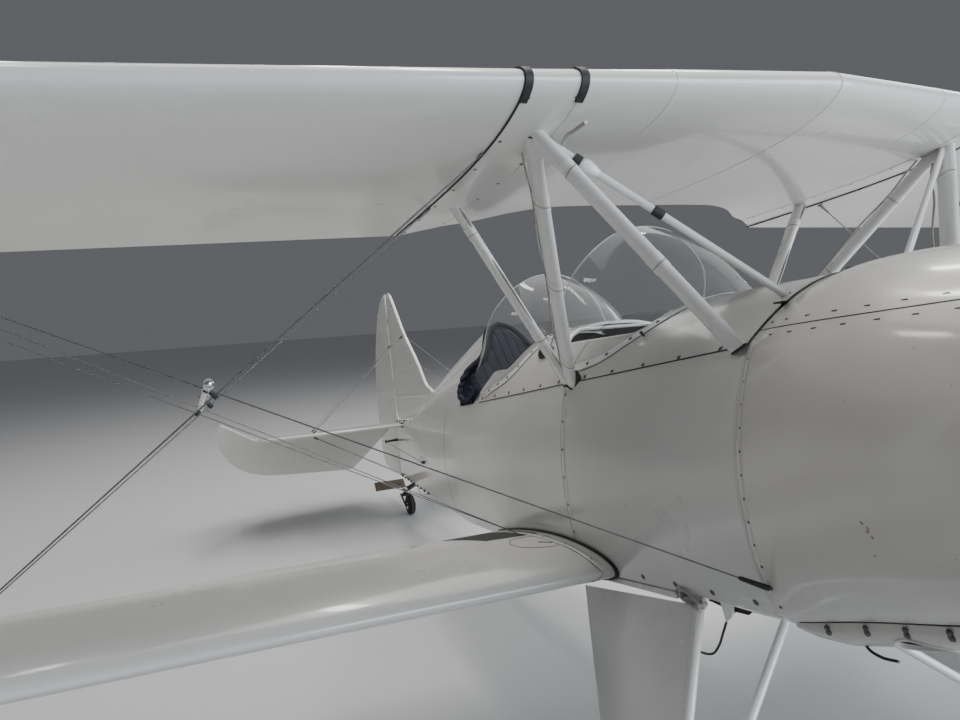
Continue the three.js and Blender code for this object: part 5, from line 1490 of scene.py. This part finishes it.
def rounded_outline(outline):
    """Cuts an outline's corners, keeping it inside the old one."""
    points = np.asarray(outline, float)
    after = np.roll(points, -1, axis=0)
    return np.stack([lerp(points, after, 0.18), lerp(points, after, 0.82)], axis=1).reshape(-1, 2)


def fabric_plate(outline, place, thickness, ribs, steps=64, edge=0.011):
    """Covered tail surface: rings along the first coordinate, proud over its ribs."""
    low, high = outline[:, 0].min(), outline[:, 0].max()
    shares = (1 - np.cos(np.linspace(0.02, math.pi - 0.02, steps))) / 2
    stations = sorted(set(low + (high - low) * shares) | {r + d for r in ribs for d in (-0.012, 0, 0.012)
                                                         if low + 0.02 < r < high - 0.02})
    rings = []
    for a in stations:
        b0, b1 = span_at(outline, a)
        reach = max(b1 - b0, 0.004)
        proud = 1.0 if min(abs(a - r) for r in ribs) < 0.006 else 0.90
        end = min(a - low, high - a) / 0.05
        full = thickness / 2 * math.sqrt(min(1.0, max(end, 0.02)))
        bulk = min(edge / (thickness / 2), 1.0)
        ring = []
        for t in around(56):
            b = (b0 + b1) / 2 + reach / 2 * math.cos(t)
            inside = min(b - b0, b1 - b)
            rise = min(1.0, math.sqrt(max(0.0, 1 - (1 - min(inside / edge, 1.0)) ** 2)))
            swell = bulk + (1 - bulk) * min(1.0, inside / 0.10) if reach > 0.1 else bulk
            up = full * rise * swell * (proud if inside > 0.03 else 1)
            ring.append(place(a, b, math.copysign(up, math.sin(t))))
        rings.append(ring)
    return loft(rings)


def upright_plate(outline, thickness, ribs):
    """Fabric plate in the centre plane, from (y, z) places."""
    outline = rounded_outline(np.array(outline)[:, ::-1])
    return fabric_plate(outline, lambda z, y, x: (x, y, z), thickness, ribs)


def tail():
    skin("fin_skin", upright_plate(FIN, 0.0335, (-0.05, 0.16, 0.36, 0.56)), COVER, "fin")
    skin("rudder_skin", upright_plate(RUDDER, 0.0295, (-0.5, -0.25, 0.0, 0.25, 0.5)), COVER, "rudder",
         body="rudder")
    halves = []
    for name, side in SIDES:
        def level(x, y, z):
            return side * x, y, TAIL_Z + z

        def hung(u, v, w):
            return (side * u, TAIL_Y + v * math.cos(DROOP) + w * math.sin(DROOP),
                    TAIL_Z - v * math.sin(DROOP) + w * math.cos(DROOP))
        skin(f"stabilizer_skin_{name}", fabric_plate(np.array(STABILIZER), level, 0.0335, (0.3, 0.55, 0.8)),
             COVER, f"stabilizer_{name}")
        halves.append(fabric_plate(rounded_outline(ELEVATOR), hung, 0.0275, (0.3, 0.55, 0.8, 1.05)))
    halves.append(rod((-0.08, TAIL_Y, TAIL_Z), (0.08, TAIL_Y, TAIL_Z), 0.0105, 16))
    skin("elevator_skin", halves, COVER, "elevator", body="elevator")
    blended = tail_controls()
    tail_trim()
    tail_gear()
    return blended


def tail_controls():
    """Hinges, bracing wires, rudder horns and the cables from the hull to the rudder."""
    hinges = [rod((0, 4.464, z - 0.02), (0, 4.464, z + 0.02), 0.0085) for z in (-0.56, 0.06, 0.56)]
    hinges += [rod((x - 0.02, 4.419, TAIL_Z), (x + 0.02, 4.419, TAIL_Z), 0.0085)
               for x in (0.26, 0.86, -0.26, -0.86)]
    piece("tail_hinges", hinges, DARK)
    wires, ends, blended = [], [], []
    for side in (1, -1):
        for a, b in TAIL_WIRES:
            a, b = mirrored(a, side), mirrored(b, side)
            way = unit(b - a)
            wires.append(tube(np.linspace(a, b, 12), 0.0021, 6))
            ends += [stepped(end, out, (-0.004, 0.022, 0.028), [0.0052, 0.0052, 0.0025], 10)
                     for end, out in ((a, way), (b, -way))]
    piece("tail_wires", wires, WIRE)
    piece("tail_wire_ends", ends, DARK)
    for name, side in SIDES:
        base, tip = mirrored(((0.012, 4.500, -0.395), (0.118, 4.470, -0.398)), side)
        piece(f"rudder_horn_{name}", [tube([base, lerp(base, tip, 0.5), tip], [0.0115, 0.009, 0.007], 10),
                                      rod(tip - (0, 0, 0.013), tip + (0, 0, 0.013), 0.006, 10)], DARK,
              body="rudder")
        lead = np.array((side * (hull_reach(2.97, -0.455) + 0.002), 2.97, -0.455))
        cable = tube(np.linspace(lead + (side * 0.004, 0.03, 0), tip, 26), 0.0022, 6)
        blended.append((piece(f"rudder_cable_{name}", cable, WIRE, body=None), lead, tip))
        piece(f"rudder_fairlead_{name}", tube([lead + (side * x, y, 0) for x, y in
                                               ((0, -0.02), (0.004, 0.006), (0.004, 0.034))],
                                              [0.004, 0.0105, 0.008], 10), DARK)
    return blended


def tail_trim():
    bolts, seals = [], []
    for side in (1, -1):
        for y in np.linspace(3.12, 4.3, 9):
            bolts += domes([mirrored(hull_point(y, 0.985), side)], [hull_at(y, 0.97, side)[1]],
                           0.0085, 0.010, 6)
        for y in np.linspace(3.98, 4.2, 5):
            top = np.array((side * 0.075, y, -0.246))
            bolts.append(rod(top, top + (0, 0, 0.018), 0.0032, 8))
            bolts += domes([top + (0, 0, 0.016)], [(0, 0, 1)], 0.0055, 0.004, 6)
        seal = [(side * (hull_reach(y, TAIL_Z) + 0.004), y, TAIL_Z) for y in np.linspace(3.97, 4.40, 16)]
        seals.append(tube(seal, [0.0185] + [0.0172] * 15, 12))
    piece("tail_bolts", bolts, DARK)
    piece("stabilizer_seals", seals, RUBBER)
    piece("tie_down_loop", tube(curve(TIE_LOOP, 30), 0.004), STEEL)


def tail_gear():
    clamps = [box((-0.029, y - 0.011, z - 0.013), (0.029, y + 0.011, z + 0.012))
              for y, z in ((3.93, -0.6935), (4.06, -0.701), (4.33, -0.7655))]
    piece("spring_clamps", clamps, STEEL, smooth=0)
    for name, places, count, half, lift, thick in (
            ("spring_under_leaf", SPRING[1:5], 14, 0.020, -0.0175, 0.006),
            ("tail_spring_leaf", SPRING, 40, 0.023, -0.0005, 0.0135)):
        line = curve([(0, y, z + lift) for y, z in places], count)
        section = ((-half, 0), (half, 0), (half, -thick), (-half, -thick))
        leaf = loft([[place + (x, 0, z) for x, z in section] for place in line])
        if name == "spring_under_leaf":
            piece(name, leaf, DARK, smooth=0)
        else:
            pin = rod((0, 4.4631, -0.8165), (0, 4.4610, -0.7971), 0.011, 20)
            skin(name, [leaf, pin], DARK, "tail_spring", smooth=20)
    corners = np.array([(x, *edge) for edge, xs in (((4.505, -0.712), (-0.236, 0.004)),
                                                    ((4.448, -0.772), (0.004, -0.240))) for x in xs])
    piece("tail_plate", [loft([corners, corners + (0, 0.0040, -0.0038)]),
                         rod((-0.02, 4.475, -0.775), (-0.02, 4.482, -0.742), 0.006, 10)], BROWN, smooth=0)
    castor = np.array((0, 4.352, -0.903))
    skin("tail_tyre", lathe(castor, 1, tyre_profile(0.0755, 0.0255, 0.034, 2), 64), TREAD, "tail_wheel",
         body="tail_wheel")
    piece("tail_wheel_disc", lathe(castor, 1, TAIL_DISC, 40), ALLOY, body="tail_wheel")


# Propeller and spinner
BLADES = [  # radius, chord, thickness, pitch in degrees
    (0.06, 0.084, 0.06, 48), (0.19, 0.104, 0.036, 44), (0.33, 0.134, 0.024, 35), (0.52, 0.15, 0.018, 27),
    (0.72, 0.138, 0.013, 21), (0.88, 0.106, 0.009, 17), (0.935, 0.074, 0.007, 16),
    (0.95, 0.034, 0.005, 16)]
PROPELLER_TURN = math.radians(25)
SPINNER = dict(back=-1.036, radius=0.152, length=0.262)


def prop_place(x, y, z):
    """Airframe place of one in the propeller's own frame, turned about the shaft."""
    c, s = math.cos(PROPELLER_TURN), math.sin(PROPELLER_TURN)
    return x * c + z * s, y, PROPELLER_CENTRE.z - x * s + z * c


def blade(direction, radii, grow=0.0):
    rings = []
    for r in radii:
        chord, thickness, pitch = smooth_row(BLADES, r)
        c, s = math.cos(math.radians(pitch)), math.sin(math.radians(pitch))
        ring = []
        for a in around(36):
            along = math.cos(a) * (chord / 2 + grow)
            across = math.sin(a) * (thickness / 2 + grow) * (1 + 0.25 * math.cos(a))
            ring.append(prop_place(direction * r, PROPELLER_CENTRE.y + along * s + across * c,
                                   direction * (along * c - across * s)))
        rings.append(ring)
    return loft(rings)


def turned(profile, sides=64):
    """Solid turned about the shaft from (radius, y) places; its ends are closed."""
    return loft([[prop_place(r * math.cos(a), y, r * math.sin(a)) for a in around(sides)]
                 for r, y in profile])


def propeller():
    back, radius, length = SPINNER["back"], SPINNER["radius"], SPINNER["length"]
    radii = np.concatenate([np.linspace(0.05, 0.90, 34), np.linspace(0.912, 0.9495, 7)])
    parts = [blade(1, radii), blade(-1, radii), turned([(0.077, -1.14), (0.077, back - 0.003)]),
             turned([(0.151, back - 0.0055), (0.151, back)])]
    skin("propeller_blades", parts, BLADE, "propeller", body="propeller")
    outer = [(radius * math.sin(a) ** 0.94, back - length + (length - 0.006) * (1 - math.cos(a)))
             for a in np.linspace(0.03, math.pi / 2, 26)]
    inner = [(max(r - 0.004, 0.001), y + 0.005) for r, y in outer[:-1]] + [(radius - 0.004, outer[-1][1])]
    made = skin("spinner_skin", turned(outer + inner[::-1], 72), ALLOY, body="propeller")
    cut(made, [loose(f"slot{k}", blade(direction, np.linspace(0.055, 0.26, 8), 0.004))
               for k, direction in enumerate((1, -1))])
    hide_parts("spinner")
    screws = []
    centre = np.array(prop_place(0, back - 0.016, 0))
    for a in around(16):
        spot = np.array(prop_place(0.1505 * math.cos(a), back - 0.016, 0.1505 * math.sin(a)))
        screws += domes([spot], [spot - centre], 0.005, 0.0018)
    piece("spinner_screws", screws, FASTENER, body="propeller")


# Padded pieces
def inflate(name, source, cap, voxel):
    """Padded copy of a CAD solid: remeshed, then blown up as cloth within a cap."""
    pressure, frames, shrink = 4.0, 20, 0.004
    mesh = bpy.data.meshes.new(name)
    edit = bmesh.new()
    edit.from_mesh(frame["nodes"][source].data)
    edit.normal_update()
    bmesh.ops.remove_doubles(edit, verts=edit.verts, dist=1e-5)
    edit.normal_update()
    for vertex in edit.verts:
        vertex.co -= vertex.normal * shrink
    edit.to_mesh(mesh)
    edit.free()
    made = new_object(name, mesh)
    remesh = made.modifiers.new("remesh", "REMESH")
    remesh.mode = "VOXEL"
    remesh.voxel_size = voxel
    remesh.use_smooth_shade = True
    settle(made)
    rest = places_of(made)
    cloth = made.modifiers.new("cloth", "CLOTH")
    settings = cloth.settings
    settings.use_pressure = True
    settings.uniform_pressure_force = pressure
    settings.effector_weights.gravity = 0
    settings.quality = 5
    settings.tension_stiffness = 12
    settings.bending_stiffness = 0.4
    cloth.point_cache.frame_start = 1
    cloth.point_cache.frame_end = frames
    for step in range(1, frames + 1):
        bpy.context.scene.frame_set(step)
    settle(made)
    bpy.context.scene.frame_set(1)
    shift = places_of(made) - rest
    shift *= np.minimum(1, cap / np.maximum(np.linalg.norm(shift, axis=1), 1e-9))[:, None]
    for vertex, place in zip(made.data.vertices, rest + shift):
        vertex.co = place
    return made


def places_of(made):
    return np.array([vertex.co[:] for vertex in made.data.vertices])


def grooves(made, field, depth):
    """Presses channels into a padded piece where the field of its airframe places is 1."""
    inverse = np.array(AIRFRAME.inverted())
    places = places_of(made)
    normals = np.array([vertex.normal[:] for vertex in made.data.vertices])
    amount = field(places @ inverse[:3, :3].T + inverse[:3, 3])
    for vertex, place, normal, a in zip(made.data.vertices, places, normals, amount):
        vertex.co = place - normal * (depth * float(a))


def cushion(name, source, cap, voxel, field, depth):
    """Padded piece in the place of a CAD node, with its sewn channels."""
    made = inflate(name, source, cap, voxel)
    grooves(made, field, depth)
    change = made.modifiers.new("subdivision", "SUBSURF")
    change.levels = change.render_levels = 1
    settle(made)
    made.data.materials.clear()
    made.data.materials.append(NAVY)
    made.data.shade_smooth()
    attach(made, "airframe")
    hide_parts(source)


def channel(values, pitch, width):
    """1 on a line every pitch, falling to 0 half a width away."""
    off = np.abs((values / pitch + 0.5) % 1 - 0.5) * pitch
    return np.clip(1 - off / width, 0, 1) ** 1.5


def folds(p):
    """Fine folds of the coaming's cloth, with a seam at every 11 cm of its run."""
    run = np.arctan2(p[:, 2] + 0.05, p[:, 1] - 1.70) * 0.30 + p[:, 0] * 0.2 * np.sign(p[:, 0])
    wave = 0.5 + 0.5 * np.sin(run * 2 * np.pi / 0.034 + 3 * np.sin(p[:, 2] * 21))
    return wave ** 2 * 0.6 + channel(run, 0.11, 0.012)


def soft_goods():
    for name in ("front_seat", "rear_seat"):
        cushion(f"{name}_cushion", name, 0.022, 0.0085, lambda p: channel(p[:, 0], 0.09, 0.011), 0.008)
    cushion("rear_headrest_pad", "rear_headrest", 0.012, 0.005, lambda p: channel(p[:, 0], 0.045, 0.008),
            0.009)
    cushion("rear_coaming_roll", "rear_coaming", 0.010, 0.0055, folds, 0.007)


def carried_over():
    """Materials of the CAD nodes that stay."""
    for node_name, material in (("firewall", STEEL), ("engine", DARK), ("control_sticks", DARK),
                                ("tail_fork", DARK), ("cockpit_floor", GREY), ("front_panel", GREY),
                                ("rear_panel", GREY)):
        slots = frame["nodes"][node_name].data.materials
        for k in range(len(slots)):
            slots[k] = material


# Lights and floor
LAMPS = ((-3.2, -1.5, 45), (-3.2, 3.0, 45), (0.2, 0.2, 80), (0.2, 4.6, 70), (3.2, 2.0, 70))


def make_stage():
    world = bpy.data.worlds.new("world")
    world.use_nodes = True
    background = world.node_tree.nodes["Background"]
    background.inputs["Color"].default_value = (0.80, 0.83, 0.88, 1)
    background.inputs["Strength"].default_value = 0.15
    bpy.context.scene.world = world
    mesh = bpy.data.meshes.new("floor")
    reach = 60
    mesh.from_pydata([(x * reach, y * reach, 0) for x, y in ((-1, -1), (1, -1), (1, 1), (-1, 1))],
                     [], [(0, 1, 2, 3)])
    mesh.materials.append(plain_material("floor_pale", (0.60, 0.60, 0.605), 0.3))
    new_object("floor", mesh)
    area_light("overhead", (3, 2, 9), (0.5, 0, 0), (13, 12), 860, (1.0, 0.985, 0.95))
    area_light("door", (5, -9.5, 2.7), (1.0, 0.5, 0.8), (11, 5), 1300, (0.84, 0.91, 1.0))
    area_light("port", (10, 3, 5), (0, 0.5, 1), (6, 4), 300, (0.94, 0.97, 1.0))
    for k, (x, y, power) in enumerate(LAMPS):
        area_light(f"lamp_{k}", (x, y, 6.5), (x, y, 0), (0.4, 2.6), power, (1.0, 0.98, 0.95))


make_camera()
make_stage()
upper_wing()
lower_wing()
ailerons()
fuselage()
cowling()
belly_pan()
body_trim()
windshields()
cockpit_fittings()
dials()
cowl_trim()
flange_clips()
small_dirt()
cabane()
interplane()
rigging()
root_details()
ribs()
gear()
wheels()
rudder_cables = tail()
propeller()
carried_over()
soft_goods()
for run, start, end in rudder_cables:
    tuple(to_world(start))
    tuple(to_world(end))
    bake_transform(run)
